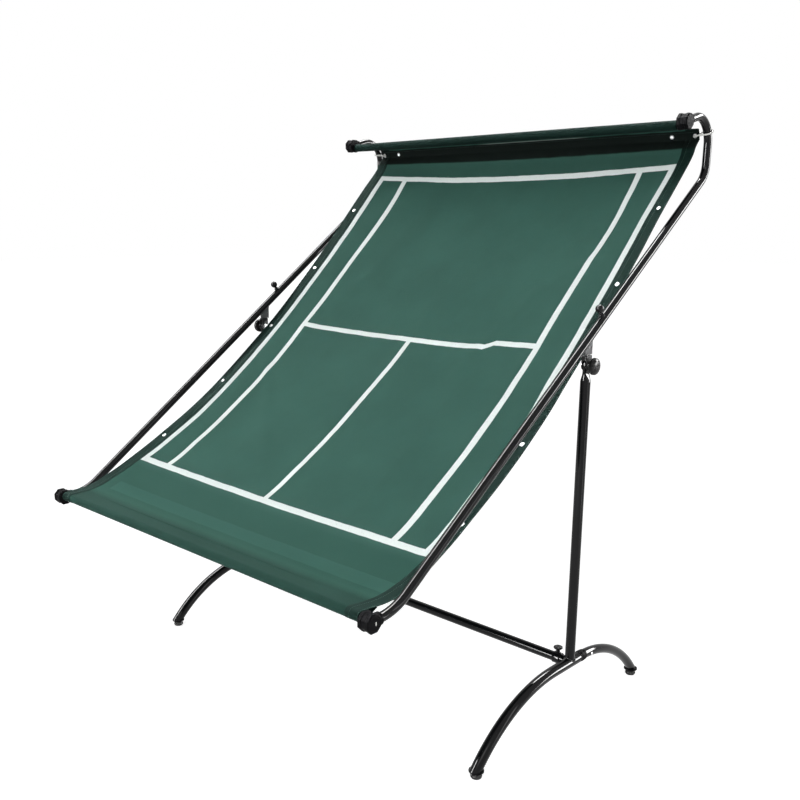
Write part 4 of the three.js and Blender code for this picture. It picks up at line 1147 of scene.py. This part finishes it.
def finish_of(name):
    """The finish of that name, made the first time that it is asked for."""
    if name not in finishes:
        scene = bpy.context.scene
        look, sizes = scene.net_colours, scene.net_sizes
        makers = {
            "paint": lambda: gloss_paint(look.paint),
            "moulding": lambda: moulded("black_moulding", look.moulding),
            "knob": lambda: moulded("knob_moulding", look.moulding, 0.32, 1800.0, 0.16),
            "bracket": lambda: satin_steel("bracket_coat", look.bracket),
            "gusset": lambda: satin_steel("gusset_coat", look.gusset),
            "steel": lambda: satin_steel("bright_steel", look.steel, 1.0),
            "rubber": lambda: rubber(look.rubber),
            "weld": lambda: weld_metal(look.paint),
            "cord": lambda: cord_weave(look.cord),
            "thread": lambda: thread(look.stitches),
            "cloth": lambda: court_cloth(look, sizes),
        }
        finishes[name] = makers[name]()
    return finishes[name]


# Pieces

def bead(path, radius, closed=False):
    """A weld bead with its ripples along a path."""
    path = np.array(path, float)
    run = run_along(path)
    ripple = radius * (1 + 0.16 * np.sin(run * FULL_TURN / 3.2) + 0.08 * np.sin(run * 1.1 + 1))
    return rope(path, ripple, 10, closed)


def foot_tubes(sizes, side):
    front, back = sizes.foot_front_radius / MM, sizes.foot_back_radius / MM
    front_end = FOOT.post + FRONT_TUBE_BACK
    arch = cut_below(route_tube(FOOT, 0, front_end, front, HALF_SPAN, 1.2, 40), FOOT_TUBE_END)
    stub = along_x(rod(12.2, HALF_SPAN - 86, HALF_SPAN - 8, 1.0, 32))
    arch = merged(arch, shifted(stub, 0, PIVOT_Y, CREST_Z))
    add_handed(side, "front_arch", arch, "paint", "base", "foot_front_arch")
    collar_start = front_end + FIT
    collar_end = collar_start + COLLAR_LENGTH
    collar = route_tube(FOOT, collar_start, collar_end, COLLAR_RADIUS, HALF_SPAN, 1.4, 40)
    ridge = route_tube(FOOT, collar_start + 9, collar_end - 9, COLLAR_RADIUS + 0.7, HALF_SPAN, 0.7, 40)
    add_handed(side, "joint_collar", merged(collar, ridge), "moulding", "base",
               "foot_joint_collar")
    tail = cut_below(route_tube(FOOT, collar_end + FIT, FOOT.length, back, HALF_SPAN, 1.0, 36), FOOT_TUBE_END)
    add_handed(side, "back_arch", tail, "paint", "base", "foot_back_arch")
    y, z, _ = FOOT.at(collar_end + FIT + BUTTON_INSET)
    button = turned([(0, 8), (4, 8), (4, 15.5), (3.7, 16.6), (2.9, 17.5), (1.6, 17.9), (0, 18)], 28)
    button = shifted(along_x(button), HALF_SPAN, y, z)
    add_handed(side, "snap_dome", button, "steel", f"snap_button_{side}", "snap_button")
    rim = rope([(HALF_SPAN + math.sqrt(back ** 2 - (5 * math.sin(a)) ** 2) + 0.1,
                 y + 5 * math.cos(a), z + 5 * math.sin(a)) for a in angles_round(28)],
               0.45, 8, True)
    add_handed(side, "button_hole_rim", rim, "bracket", "base")


def foot_ends(_, side):
    for end, y in (("front", FOOT.front_y), ("back", FOOT.back_y)):
        flange = turned(soft([
            (0, PAD_TOP), (FLANGE_RADIUS, PAD_TOP), (FLANGE_RADIUS, FLANGE_TOP), (0, FLANGE_TOP),
        ], 1.4))
        add_handed(side, f"end_cap_{end}", shifted(flange, HALF_SPAN, y), "moulding", "base",
                   f"foot_cap_{end}")
        pad = turned(soft([
            (0, 0), (13.2, 0), (14.4, 1.6), (15.5, 4), (15.5, 8), (14.2, 9.6), (12.2, 11.5), (11, 17), (0, 17),
        ], 0.8))
        groove = turned(soft([(0, 5.2), (15.9, 5.2), (15.9, 6.8), (0, 6.8)], 0.7))
        stud = rod(4, 16, 30, 0.6, 24)
        add_handed(side, f"pad_{end}", shifted(merged(pad, groove, stud), HALF_SPAN, y), "rubber",
                   f"levelling_pad_{end}_{side}", f"levelling_pad_{end}")


def post_part(radius):
    """A round tube flattened to a tab, with a round end about the pivot."""
    flatten_start, flatten_end = PIVOT_Z - TAB_START, PIVOT_Z - TAB_END
    levels = [CREST_Z, CREST_Z + 20, flatten_start]
    levels += list(np.linspace(flatten_start, flatten_end, 14)[1:])
    levels += [PIVOT_Z + TAB_HALF_WIDTH * math.sin(a) for a in np.linspace(0, math.radians(86), 14)]
    around = 40
    points = []
    for level in levels:
        share = np.clip((level - flatten_start) / (flatten_end - flatten_start), 0, 1)
        share = share * share * (3 - 2 * share)
        half_x = radius + (TAB_HALF_THICKNESS - radius) * share
        half_y = radius + (TAB_HALF_WIDTH - radius) * share
        if level > PIVOT_Z:
            half_y = math.sqrt(max(TAB_HALF_WIDTH ** 2 - (level - PIVOT_Z) ** 2, 0.1))
        corner = 1 + (TAB_CORNER - 1) * share
        for turn in angles_round(around):
            c, s = math.cos(turn), math.sin(turn)
            points.append((HALF_SPAN + half_x * math.copysign(abs(c) ** corner, c),
                           PIVOT_Y + half_y * math.copysign(abs(s) ** corner, s), level))
    return points, closed_tube_faces(len(levels), around)


def posts(sizes, side):
    radius, arch = sizes.post_radius / MM, sizes.foot_front_radius / MM
    add_handed(side, "upright", post_part(radius), "paint", "base", "post")
    ring = []
    for turn in angles_round(72):
        x, y = (radius + 0.8) * math.cos(turn), (radius + 0.8) * math.sin(turn)
        ring.append((HALF_SPAN + x, PIVOT_Y + y, CREST_Z + math.sqrt(max(arch ** 2 - x ** 2, 1)) + 0.6))
    add_handed(side, "post_weld", bead(ring, 2.1, True), "weld", "base")


def stretcher_pieces(sizes):
    radius = sizes.stretcher_radius / MM
    end = HALF_SPAN - 16 - FIT
    parts = [shifted(along_x(rod(radius, -end, end, 0.8, 40)), 0, PIVOT_Y, CREST_Z)]
    for sign in (1, -1):
        inner, outer = CLAMP_X - 12, CLAMP_X + 12
        collar = along_x(turned(soft([(0, inner), (17, inner), (17, outer), (0, outer)], 1.6), 40))
        parts.append(handed(shifted(collar, 0, PIVOT_Y, CREST_Z), sign))
        boss = rod(7.5, 14.5, 17.4, 0.8, 28)
        parts.append(handed(shifted(boss, CLAMP_X, PIVOT_Y, CREST_Z), sign))
    add_piece("stretcher_tube", merged(*parts), "paint", "base", ["stretcher"])
    for side in SIDES:
        seat = CREST_Z + 17.6
        knob = turned(soft([
            (0, CREST_Z + 14.8), (4, CREST_Z + 14.8), (4, seat), (6.3, seat), (5.6, seat + 5), (6.4, seat + 9),
            (11, seat + 10.4), (13.5, seat + 13), (13.5, seat + 16), (11, seat + 17.8), (0, seat + 18),
        ], 0.9), 40)
        add_handed(side, "clamp_screw", shifted(knob, CLAMP_X, PIVOT_Y), "knob", f"stretcher_knob_{side}",
                   "stretcher_knob")


def arc(radius, start, end, steps):
    return [(radius * math.cos(a), radius * math.sin(a)) for a in np.linspace(start, end, steps + 1)]


def at_pivot(outline):
    return [(PIVOT_Y + y, PIVOT_Z + z) for y, z in outline]


def rail_height(y):
    """Height above the pivot of the rail's centre line."""
    return (RAIL_OFFSET + y * math.sin(TILT)) / math.cos(TILT)


def pivots(sizes, side):
    cheek = [(-13, 28), *arc(13, math.pi, FULL_TURN, 20), (13, 28)]
    web = [(-12.6, 24), (12.6, 24), (12.6, 27.8), (-12.6, 27.8)]
    bracket = merged(*(prism(at_pivot(cheek), *faces, 0.6) for faces in CHEEKS), prism(at_pivot(web), *WEB, 0.4))
    add_handed(side, "tilt_yoke", bracket, "bracket", "panel", "tilt_bracket")
    rail = sizes.rail_radius / MM / math.cos(TILT)
    plate = [(-13, 28.3), (22.5, 28.3), (22.5, rail_height(22.5) - rail + 2), (-13, rail_height(-13) - rail + 2)]
    add_handed(side, "rail_gusset", prism(at_pivot(plate), *GUSSET, 0.7), "gusset", "panel",
               "gusset_plate")
    beads = []
    for x in GUSSET_WELDS:
        line = [(x, PIVOT_Y + y, PIVOT_Z + rail_height(y) - rail - 0.3) for y in np.linspace(-12, 22, 40)]
        foot = [(x, PIVOT_Y + y, PIVOT_Z + 28.2) for y in np.linspace(-11, 11, 26)]
        beads += [bead(line, 1.7), bead(foot, 1.4)]
    add_handed(side, "gusset_weld", merged(*beads), "weld", "panel")

    head = moved(turned([(0, 0), (6.4, 0), (7.5, 0.6), (7.5, 3.6), (6.6, 4.1), (0, 4.1)], 6),
                 Matrix.Rotation(math.radians(30), 4, "Z"))
    washer = rod(8.6, -0.9, -0.1, 0.3, 32)
    shank = rod(4, -20, 1, 0.4, 24)
    bolt = moved(along_x(merged(head, washer, shank)), Matrix.Rotation(math.pi, 4, "Z"))
    bolt = shifted(bolt, HALF_SPAN - 9.7, PIVOT_Y, PIVOT_Z)
    add_handed(side, "tilt_bolt", bolt, "steel", "base", "pivot_bolt")
    bare = shifted(along_x(turned(soft([(0, 8.6), (9.4, 8.6), (9.4, 9.6), (0, 9.6)], 0.3), 36)),
                   HALF_SPAN, PIVOT_Y, PIVOT_Z)
    add_handed(side, "bracket_washer", bare, "steel", "base")

    face = sizes.knob_radius / MM
    profile = soft([
        (0, 0.9), (10.6, 0.9), (11, 1.6), (11, 7.6), (13, 8.2), (21, 9.6), (face, 12), (face, 18.4), (21.4, 21.4),
        (15, 24.8), (8, 26), (0, 26),
    ], 1.5)
    points, faces = turned(profile, 96)
    gripped = []
    for x, y, z in points:
        radius, turn = math.hypot(x, y), math.atan2(y, x)
        hold = np.clip((radius - 17) / 6, 0, 1) * np.clip((z - 8) / 3, 0, 1) * np.clip((24 - z) / 4, 0, 1)
        scale = 1 - 0.028 * hold * (0.5 - 0.5 * math.cos(turn * 16)) ** 2
        gripped.append((x * scale, y * scale, z))
    knob = shifted(along_x((gripped, faces)), HALF_SPAN + 8.8, PIVOT_Y, PIVOT_Z)
    add_handed(side, "tilt_knob", knob, "knob", f"pivot_knob_{side}", "pivot_knob")


def rails(sizes, side):
    radius = sizes.rail_radius / MM
    lower = merged(
        route_tube(RAIL, RAIL_END_GAP, RAIL.joint, radius, HALF_SPAN, 0.9, 40),
        route_tube(RAIL, RAIL.joint - 6, RAIL.joint + 59, 10.2, HALF_SPAN, 1.0, 32),
    )
    add_handed(side, "rail_lower", lower, "paint", "panel", "lower_rail")
    knob_y = RAIL_JOINT + BALL_KNOB_INSET
    upright = Matrix.Translation((HALF_SPAN, *from_panel(knob_y, RAIL_OFFSET))) @ Matrix.Rotation(TILT, 4, "X")
    boss = turned(soft([(0, 8), (8, 8), (8, radius + 4.2), (6.6, radius + 5), (0, radius + 5)], 0.7), 32)
    upper = merged(
        route_tube(RAIL, RAIL.joint + FIT, RAIL.length - RAIL_END_GAP, radius, HALF_SPAN, 0.9, 40),
        moved(boss, upright),
    )
    add_handed(side, "rail_upper", upper, "paint", "panel", "upper_rail")
    ball = sizes.ball_radius / MM
    arc_points = [(ball * math.cos(a), 33.5 + ball * math.sin(a)) for a in np.linspace(-1.25, QUARTER_TURN, 18)]
    profile = [(0, 12.5), (3, 12.5), (3, 20), (4.4, 20.6), *arc_points[:-1], (0, 33.5 + ball)]
    add_handed(side, "ball_grip", moved(turned(profile, 40), upright), "paint", f"ball_knob_{side}",
               "ball_knob")
    washer = turned(soft([(0, 17.1), (6.2, 17.1), (6.2, 18.5), (4.2, 18.9), (4.2, 20.4), (0, 20.4)], 0.3), 32)
    add_handed(side, "ball_washer", moved(washer, upright), "bracket", f"ball_knob_{side}")


def corners(_, side):
    for end, tip, bar, marks in (
        ("top", TOP_TIP, TOP_BAR, (RAIL.length - CORNER_SOCKET, RAIL.length)),
        ("bottom", BOTTOM_TIP, BOTTOM_BAR, (0.0, CORNER_SOCKET)),
    ):
        angles = [FULL_TURN * (i + 0.5) / 8 for i in range(8)]
        outline, waist = ([(tip[0] + r * math.cos(a), tip[1] + r * math.sin(a)) for a in angles]
                          for r in (CORNER_RADIUS, CORNER_RADIUS - 1.6))
        disc = shifted(along_x(turned(soft([(0, 0), (15, 0), (15, 1.2), (0, 1.2)], 0.4), 40)),
                       CORNER_HIGH - 1.0, tip[0], tip[1])
        mouth = shifted(along_x(turned(soft([(0, 0), (15.5, 0), (15.5, 5), (0, 5)], 1.0), 40)),
                        CORNER_LOW - 1.5, bar[0], bar[1])
        block = merged(
            prism(outline, CORNER_LOW, CORNER_LOW + 12, 2.0),
            prism(waist, CORNER_LOW + 10, CORNER_HIGH - 10, 1.0),
            prism(outline, CORNER_HIGH - 12, CORNER_HIGH, 2.6),
            route_tube(RAIL, *marks, 15.5, HALF_SPAN, 1.5, 36),
            mouth, disc,
        )
        add_handed(side, f"corner_block_{end}", block, "moulding", "panel", f"corner_piece_{end}")


def crossbars(sizes):
    radius = sizes.bar_radius / MM
    for name, bar in (("top_crossbar", TOP_BAR), ("bottom_crossbar", BOTTOM_BAR)):
        part = shifted(along_x(rod(radius, -CROSSBAR_END, CROSSBAR_END, 0.8, 36)), 0, bar[0], bar[1])
        add_piece(f"{name}_tube", part, "paint", "panel", [name])


def end_eyelets():
    """Places of the two corner eyelets and of the second one in the band, as x and s, for the right side."""
    band = BAND_ABOVE_FOOT - BAND_EYELET_RISE
    return [(EYELET_X, band), (EYELET_X, CLOTH.hem_row - TOE_EYELET_RISE), (SECOND_EYELET_X, band)]


def eyelet_spots():
    """Places of all eyelets of the right side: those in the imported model, then the others."""
    top, bottom, second = end_eyelets()
    sides = [(SIDE_EYELET_X, BAND_ABOVE_FOOT + FIRST_EYELET + EYELET_PITCH * i) for i in range(EYELETS_PER_SIDE)]
    return [top, bottom, *sides], [second]


def sheet_pieces(sizes):
    edge = SHEET_HALF_WIDTH
    columns = np.unique(np.concatenate([
        np.linspace(-edge, edge, 147), [-edge + 1.5, edge - 1.5],
        *(np.array((SIDE_HEM - 0.5, SIDE_HEM + 0.5)) * sign for sign in (1, -1)),
        *(fold + np.array((-4.0, 0.0, 4.0)) for fold in (-301.0, 0.0, 300.0)),
    ]))
    rows, wide = len(CLOTH.s), len(columns)
    s = np.repeat(CLOTH.s, wide)
    x = np.tile(columns, rows)
    hem = np.where((np.abs(x) > SIDE_HEM) & (s > 0), SIDE_HEM_RAISED, 0.0)
    half = sizes.cloth_thickness / MM / 2
    points = np.vstack([CLOTH.surface(x, s, hem + half), CLOTH.surface(x, s, hem - half)])
    back = rows * wide
    faces = []
    for row in range(rows - 1):
        a = row * wide
        b = a + wide
        faces += [(a + i, b + i, b + i + 1, a + i + 1) for i in range(wide - 1)]
        faces += [(back + a + i, back + a + i + 1, back + b + i + 1, back + b + i) for i in range(wide - 1)]
        for i, j in ((a, b), (b + wide - 1, a + wide - 1)):
            faces.append((i, back + i, back + j, j))
    last = back - wide
    for i in range(wide - 1):
        faces.append((i, i + 1, back + i + 1, back + i))
        faces.append((last + i + 1, last + i, back + last + i, back + last + i + 1))
    mesh = bpy.data.meshes.new("court_sheet")
    mesh.from_pydata([tuple(p) for p in points * MM], [], faces)
    spot = mesh.attributes.new("on_cloth", "FLOAT_VECTOR", "POINT")
    front = np.repeat([1.0, 0.0], back)
    spot.data.foreach_set(
        "vector", np.stack([np.tile(x * MM, 2), np.tile(s * MM, 2), front], -1).astype(np.float32).ravel())
    piece = placed("court_sheet", mesh)
    finish_piece(piece, finish_of("cloth"), "panel", ["rebound_sheet"], SHARP_EDGE_SOFT_PIECE)


def stitch_pieces(sizes):
    end = np.interp(1.0, CLOTH.face_share, CLOTH.s)
    raised = sizes.cloth_thickness / MM / 2 + 0.25
    lines = []
    down = np.arange(6, end - 6, STITCH_LINE_STEP)
    for x in SIDE_SEAMS:
        lines.append(CLOTH.surface(x, down, raised + SIDE_HEM_RAISED))
    across = np.arange(-640, 641, STITCH_LINE_STEP)
    for s in (*(end - inset for inset in BOTTOM_SEAM_INSETS), *TOP_SEAMS):
        lines.append(CLOTH.surface(across, s, raised))
    values = {"Pitch": sizes.stitch_pitch, "Length": sizes.stitch_pitch * 0.68, "Thickness": THREAD_THICKNESS,
              "Material": finish_of("thread")}
    piece = grown("sheet_stitches", seam_mesh("seams", lines), stitch_tree(), values)
    finish_piece(piece, finish_of("thread"), "panel")


def eyelet_pieces(sizes):
    shared, extra = eyelet_spots()
    spots = [(x * sign, s) for x, s in shared + extra for sign in (1, -1)]
    mesh = bpy.data.meshes.new("eyelet_spots")
    lift = np.array([CLOTH.surface(x, s, SIDE_HEM_RAISED if s > 0 and abs(x) > SIDE_HEM else 0.0) for x, s in spots])
    mesh.from_pydata([tuple(p * MM) for p in lift], [], [])
    facing = mesh.attributes.new("facing", "FLOAT_VECTOR", "POINT")
    directions = np.array([CLOTH.facing(x, s) for x, s in spots])
    facing.data.foreach_set("vector", directions.astype(np.float32).ravel())
    values = {"Hole Radius": sizes.eyelet_hole, "Flange Radius": sizes.eyelet_flange,
              "Thickness": EYELET_THICKNESS, "Material": finish_of("steel")}
    piece = grown("sheet_eyelets", mesh, eyelet_tree(), values)
    nodes = [f"{name}_{side}" for side in SIDES
             for name in ("top_eyelet", "toe_eyelet", *(f"side_eyelet_{i + 1}" for i in range(EYELETS_PER_SIDE)))]
    finish_piece(piece, finish_of("steel"), "panel", nodes)


def cord_piece(name, knots, radius, replaces):
    """A braided loop with its two ends in one knot."""
    path = spline(knots, 10)
    points, faces = rope(path, radius, 16)
    lay = [(along * MM, FULL_TURN * i / 16, 0.0) for along in run_along(path) for i in range(16)]
    middle = (path[0] + path[-1]) / 2
    knot = []
    for turn in angles_round(64):
        knot.append(middle + 2.3 * np.array((
            math.sin(turn) + 2 * math.sin(2 * turn),
            math.cos(turn) - 2 * math.cos(2 * turn),
            -math.sin(3 * turn),
        )) * 0.62)
    knot_points, knot_faces = rope(knot, radius * 0.9, 12, True)
    lay += [(i / 64 * 0.04, FULL_TURN * j / 12, 0.0) for i in range(64) for j in range(12)]
    whole = merged((points, faces), (knot_points, knot_faces))
    mesh = bpy.data.meshes.new(name)
    mesh.from_pydata([tuple(np.array(p) * MM) for p in whole[0]], [], whole[1])
    attribute = mesh.attributes.new("lay", "FLOAT_VECTOR", "POINT")
    attribute.data.foreach_set("vector", np.array(lay, np.float32).ravel())
    face_outward(mesh)
    piece = placed(name, mesh)
    finish_piece(piece, finish_of("cord"), "panel", replaces, SHARP_EDGE_SOFT_PIECE)


def cords(sizes, side):
    sign = SIDES[side]
    radius = sizes.cord_radius / MM
    wrap = sizes.rail_radius / MM + radius + 1.2
    corner = wrap * math.sqrt(0.5)
    out = np.array((1.0, 0.0, 0.0))
    shared, _ = eyelet_spots()

    def loop(spot, mark, name, steps):
        place = CLOTH.surface(spot[0] * sign, spot[1])
        normal = CLOTH.facing(spot[0] * sign, spot[1])
        place, normal = place * (sign, 1, 1), normal * (sign, 1, 1)
        y, z, heading = RAIL.at(mark)
        rail = np.array((HALF_SPAN, y, z))
        front = np.array((0.0, -math.sin(heading), math.cos(heading)))
        knots = np.array(steps(place, normal, rail, front)) * (sign, 1, 1)
        cord_piece(name, knots, radius, [name.replace("braid", "corner_cord")])

    def top_steps(place, normal, rail, front):
        return [
            rail - out * 17 + front * wrap, place + normal * 8, place + normal * 4, place - normal * 4,
            place + out * 4 - normal * 8, rail - out * corner - front * corner, rail - front * wrap,
            rail + out * corner - front * corner, rail + out * wrap, rail + out * corner + front * corner,
            rail + front * wrap, rail - out * 12 + front * wrap,
        ]

    def toe_steps(place, normal, rail, up):
        return [
            place + out * 4 - normal * 8, place - normal * 4, place + normal * 4, place + out * 4 + normal * 8,
            place + out * 17 + normal * 8, rail + up * wrap, rail + out * corner + up * corner, rail + out * wrap,
            rail + out * corner - up * corner, rail - up * wrap, rail - out * corner - up * corner,
            place + out * 8 - normal * 12,
        ]

    toe_place = CLOTH.surface(*shared[1])
    toe_mark = float(np.interp(toe_place[1], RAIL.rows[:40, 1], RAIL.rows[:40, 0]))
    loop(shared[0], RAIL.hook + 35, f"top_braid_{side}", top_steps)
    loop(shared[1], toe_mark, f"toe_braid_{side}", toe_steps)


# Stage

PHOTO_SIZE = 800  # pixels, each way
PHOTO_AXIS = (375.08, 446.13)  # pixel that the camera looks along
FOCAL_PIXELS = 927.4
SENSOR_WIDTH = 36.0
CAMERA_AZIMUTH, CAMERA_ELEVATION, CAMERA_ROLL = 44.0308, 13.6643, 0.131  # degrees
CAMERA_PLACE = (1.9638, -2.1432 + PIVOT_Y * MM, 1.402)  # metres


def camera_matrix(azimuth, elevation, roll, place):
    a, e = math.radians(azimuth), math.radians(elevation)
    back = Vector((math.sin(a) * math.cos(e), -math.cos(a) * math.cos(e), math.sin(e)))
    right = Vector((math.cos(a), math.sin(a), 0))
    up = back.cross(right)
    c, s = math.cos(math.radians(roll)), math.sin(math.radians(roll))
    right, up = c * right + s * up, -s * right + c * up
    matrix = Matrix((right, up, back)).transposed().to_4x4()
    matrix.translation = place
    return matrix


def add_camera():
    camera = bpy.data.cameras.new("photo_camera")
    camera.sensor_width = SENSOR_WIDTH
    camera.lens = FOCAL_PIXELS * SENSOR_WIDTH / PHOTO_SIZE
    camera.shift_x = (PHOTO_SIZE / 2 - PHOTO_AXIS[0]) / PHOTO_SIZE
    camera.shift_y = (PHOTO_AXIS[1] - PHOTO_SIZE / 2) / PHOTO_SIZE
    camera.clip_start, camera.clip_end = 0.05, 100.0
    item = placed("photo_camera", camera)
    item.matrix_world = camera_matrix(CAMERA_AZIMUTH, CAMERA_ELEVATION, CAMERA_ROLL, CAMERA_PLACE)
    bpy.context.scene.camera = item


# Name, place, what it faces, size, power and whether it shows as shine
LAMPS = (
    ("key_panel", (2.6, -2.6, 3.6), (0.2, 0.1, 0.9), (1.6, 1.0), 18, True),
    ("front_fill", (0.6, -3.4, 1.1), (0.0, 0.4, 1.4), (2.4, 1.4), 66, False),
    ("right_strip", (2.7, 0.4, 0.9), (0.67, 0.1, 0.8), (0.3, 1.8), 9, True),
)


def add_area(name, place, target, size, power, shine):
    """A flat upright lamp that faces a target."""
    lamp = bpy.data.lights.new(name, "AREA")
    lamp.shape = "RECTANGLE"
    lamp.size, lamp.size_y = size
    lamp.energy = power
    item = placed(name, lamp)
    place = Vector(place)
    back = (place - Vector(target)).normalized()
    across = Vector((0, 0, 1)).cross(back).normalized()
    turn = Matrix((across, back.cross(across), back)).transposed().to_4x4()
    item.matrix_world = Matrix.Translation(place) @ turn
    item.visible_camera = False
    item.visible_glossy = shine


WORLD_LEVEL = 0.5  # of the light on the object. The background and reflections see 1.
BOX_HALF_WIDTH, BOX_BLUR = 0.1, 0.03
RAIL_SOFT_BOXES = (((-0.505, -0.505, 0.701), 60.0), ((0.869, 0.289, -0.402), 45.0))  # direction and strength
FLOOR_REACH = 30.0
FLOOR_COLOUR = (0.84, 0.84, 0.84, 1.0)
FLOOR_GLOW = 0.7
WHITE = (1.0, 1.0, 1.0, 1.0)


def add_world():
    world = bpy.data.worlds.new("soft_studio")
    bpy.context.scene.world = world
    world.use_nodes = True
    nodes = Nodes(world.node_tree)
    nodes.tree.nodes.clear()
    rays = nodes.add("ShaderNodeLightPath", output="Is Camera Ray")
    glossy, through = rays.sibling("Is Glossy Ray"), rays.sibling("Is Transmission Ray")
    level = WORLD_LEVEL + rays.over(through).over(glossy) * (1 - WORLD_LEVEL)
    sky = nodes.add("ShaderNodeTexCoord", output="Generated")

    def toward(direction):
        settings = {"operation": "DOT_PRODUCT"}
        return nodes.add("ShaderNodeVectorMath", settings, {0: sky, 1: tuple(direction)}, 1)

    # Long soft boxes that lie along the side rails and show only as their shine
    rail_way = Vector((0, math.cos(TILT), math.sin(TILT)))
    boxes = 0.0
    for direction, strength in RAIL_SOFT_BOXES:
        facing = Vector(direction)
        off = abs(toward(rail_way.cross(facing)))
        ahead = ((toward(facing) - 0.2) / 0.1).clamped()
        boxes = ((BOX_HALF_WIDTH - off) / BOX_BLUR).clamped() * ahead * strength + boxes
    level = level + boxes * glossy
    light = nodes.add("ShaderNodeBackground", {}, {"Color": WHITE, "Strength": level})
    nodes.add("ShaderNodeOutputWorld", {}, {"Surface": light})


def add_floor():
    r = FLOOR_REACH
    mesh = bpy.data.meshes.new("studio_floor")
    mesh.from_pydata([(-r, -r, 0), (r, -r, 0), (r, r, 0), (-r, r, 0)], [], [(0, 1, 2, 3)])
    floor = placed("studio_floor", mesh)
    f = Finish("pale_floor")
    rays = f.add("ShaderNodeLightPath", output="Is Camera Ray")
    glossy = rays.sibling("Is Glossy Ray")
    glow = f.add("ShaderNodeEmission", {}, {"Strength": rays.over(glossy) * FLOOR_GLOW})
    matt = f.add("ShaderNodeBsdfDiffuse", {}, {"Color": FLOOR_COLOUR})
    both = f.add("ShaderNodeAddShader", {}, {0: matt, 1: glow})
    f.add("ShaderNodeOutputMaterial", {}, {"Surface": both})
    mesh.materials.append(f.material)


# Operators

def on_each_side(context, build):
    """Builds the pieces of the right side, then those of the left."""
    for side in SIDES:
        build(context.scene.net_sizes, side)
    return {"FINISHED"}


class NET_OT_stage(bpy.types.Operator):
    """Add the floor, the soft studio light and the camera"""

    bl_idname = "rebound_net.stage"
    bl_label = "Stage"

    def execute(self, context):
        context.scene.view_settings.view_transform = "Standard"
        add_camera()
        add_world()
        add_floor()
        for lamp in LAMPS:
            add_area(*lamp)
        return {"FINISHED"}


class NET_OT_feet(bpy.types.Operator):
    """Add the arched foot tubes, their joint collars and snap buttons"""

    bl_idname = "rebound_net.feet"
    bl_label = "Arched feet"

    def execute(self, context):
        return on_each_side(context, foot_tubes)


class NET_OT_foot_ends(bpy.types.Operator):
    """Add the end caps and levelling pads of the feet"""

    bl_idname = "rebound_net.foot_ends"
    bl_label = "Caps and pads"

    def execute(self, context):
        return on_each_side(context, foot_ends)


class NET_OT_posts(bpy.types.Operator):
    """Add the posts with their flattened tops and welds"""

    bl_idname = "rebound_net.posts"
    bl_label = "Posts"

    def execute(self, context):
        return on_each_side(context, posts)


class NET_OT_stretcher(bpy.types.Operator):
    """Add the stretcher and its clamp screws"""

    bl_idname = "rebound_net.stretcher"
    bl_label = "Stretcher"

    def execute(self, context):
        stretcher_pieces(context.scene.net_sizes)
        return {"FINISHED"}


class NET_OT_pivots(bpy.types.Operator):
    """Add the tilt brackets, gusset plates, bolts and pivot knobs"""

    bl_idname = "rebound_net.pivots"
    bl_label = "Pivots"

    def execute(self, context):
        return on_each_side(context, pivots)


class NET_OT_rails(bpy.types.Operator):
    """Add the hooked side rails and their ball knobs"""

    bl_idname = "rebound_net.rails"
    bl_label = "Side rails"

    def execute(self, context):
        return on_each_side(context, rails)


class NET_OT_corners(bpy.types.Operator):
    """Add the crossbars and the corner blocks that hold them"""

    bl_idname = "rebound_net.corners"
    bl_label = "Crossbars and corners"

    def execute(self, context):
        crossbars(context.scene.net_sizes)
        return on_each_side(context, corners)


class NET_OT_sheet(bpy.types.Operator):
    """Add the stretched sheet with its sleeves and printed lines"""

    bl_idname = "rebound_net.sheet"
    bl_label = "Sheet"

    def execute(self, context):
        sheet_pieces(context.scene.net_sizes)
        return {"FINISHED"}


class NET_OT_stitches(bpy.types.Operator):
    """Add the rows of stitches along the hems and seams"""

    bl_idname = "rebound_net.stitches"
    bl_label = "Stitches"

    def execute(self, context):
        stitch_pieces(context.scene.net_sizes)
        return {"FINISHED"}


class NET_OT_eyelets(bpy.types.Operator):
    """Add the pressed eyelets of the sheet"""

    bl_idname = "rebound_net.eyelets"
    bl_label = "Eyelets"

    def execute(self, context):
        eyelet_pieces(context.scene.net_sizes)
        return {"FINISHED"}


class NET_OT_cords(bpy.types.Operator):
    """Add the elastic corner cords"""

    bl_idname = "rebound_net.cords"
    bl_label = "Corner cords"

    def execute(self, context):
        return on_each_side(context, cords)


OPERATORS = (
    NET_OT_stage, NET_OT_feet, NET_OT_foot_ends, NET_OT_posts, NET_OT_stretcher, NET_OT_pivots, NET_OT_rails,
    NET_OT_corners, NET_OT_stitches, NET_OT_eyelets, NET_OT_sheet, NET_OT_cords,
)


class NET_PT_pieces(bpy.types.Panel):
    """Lists the net's pieces"""

    bl_idname = "NET_PT_pieces"
    bl_label = "Rebound net"
    bl_space_type = "VIEW_3D"
    bl_region_type = "UI"
    bl_category = "Rebound net"

    def draw(self, context):
        for settings in (context.scene.net_sizes, context.scene.net_colours):
            box = self.layout.box()
            for name in settings.__annotations__:
                box.prop(settings, name)
        for operator in OPERATORS:
            self.layout.operator(operator.bl_idname)


CLASSES = (NetSizes, NetColours, *OPERATORS, NET_PT_pieces)


def register():
    for item in CLASSES:
        bpy.utils.register_class(item)
    bpy.types.Scene.net_sizes = bpy.props.PointerProperty(type=NetSizes)
    bpy.types.Scene.net_colours = bpy.props.PointerProperty(type=NetColours)


def unregister():
    del bpy.types.Scene.net_sizes
    del bpy.types.Scene.net_colours
    for item in reversed(CLASSES):
        bpy.utils.unregister_class(item)


def main():
    register()
    for operator in OPERATORS:
        group, name = operator.bl_idname.split(".")
        getattr(getattr(bpy.ops, group), name)()


if __name__ == "__main__":
    main()
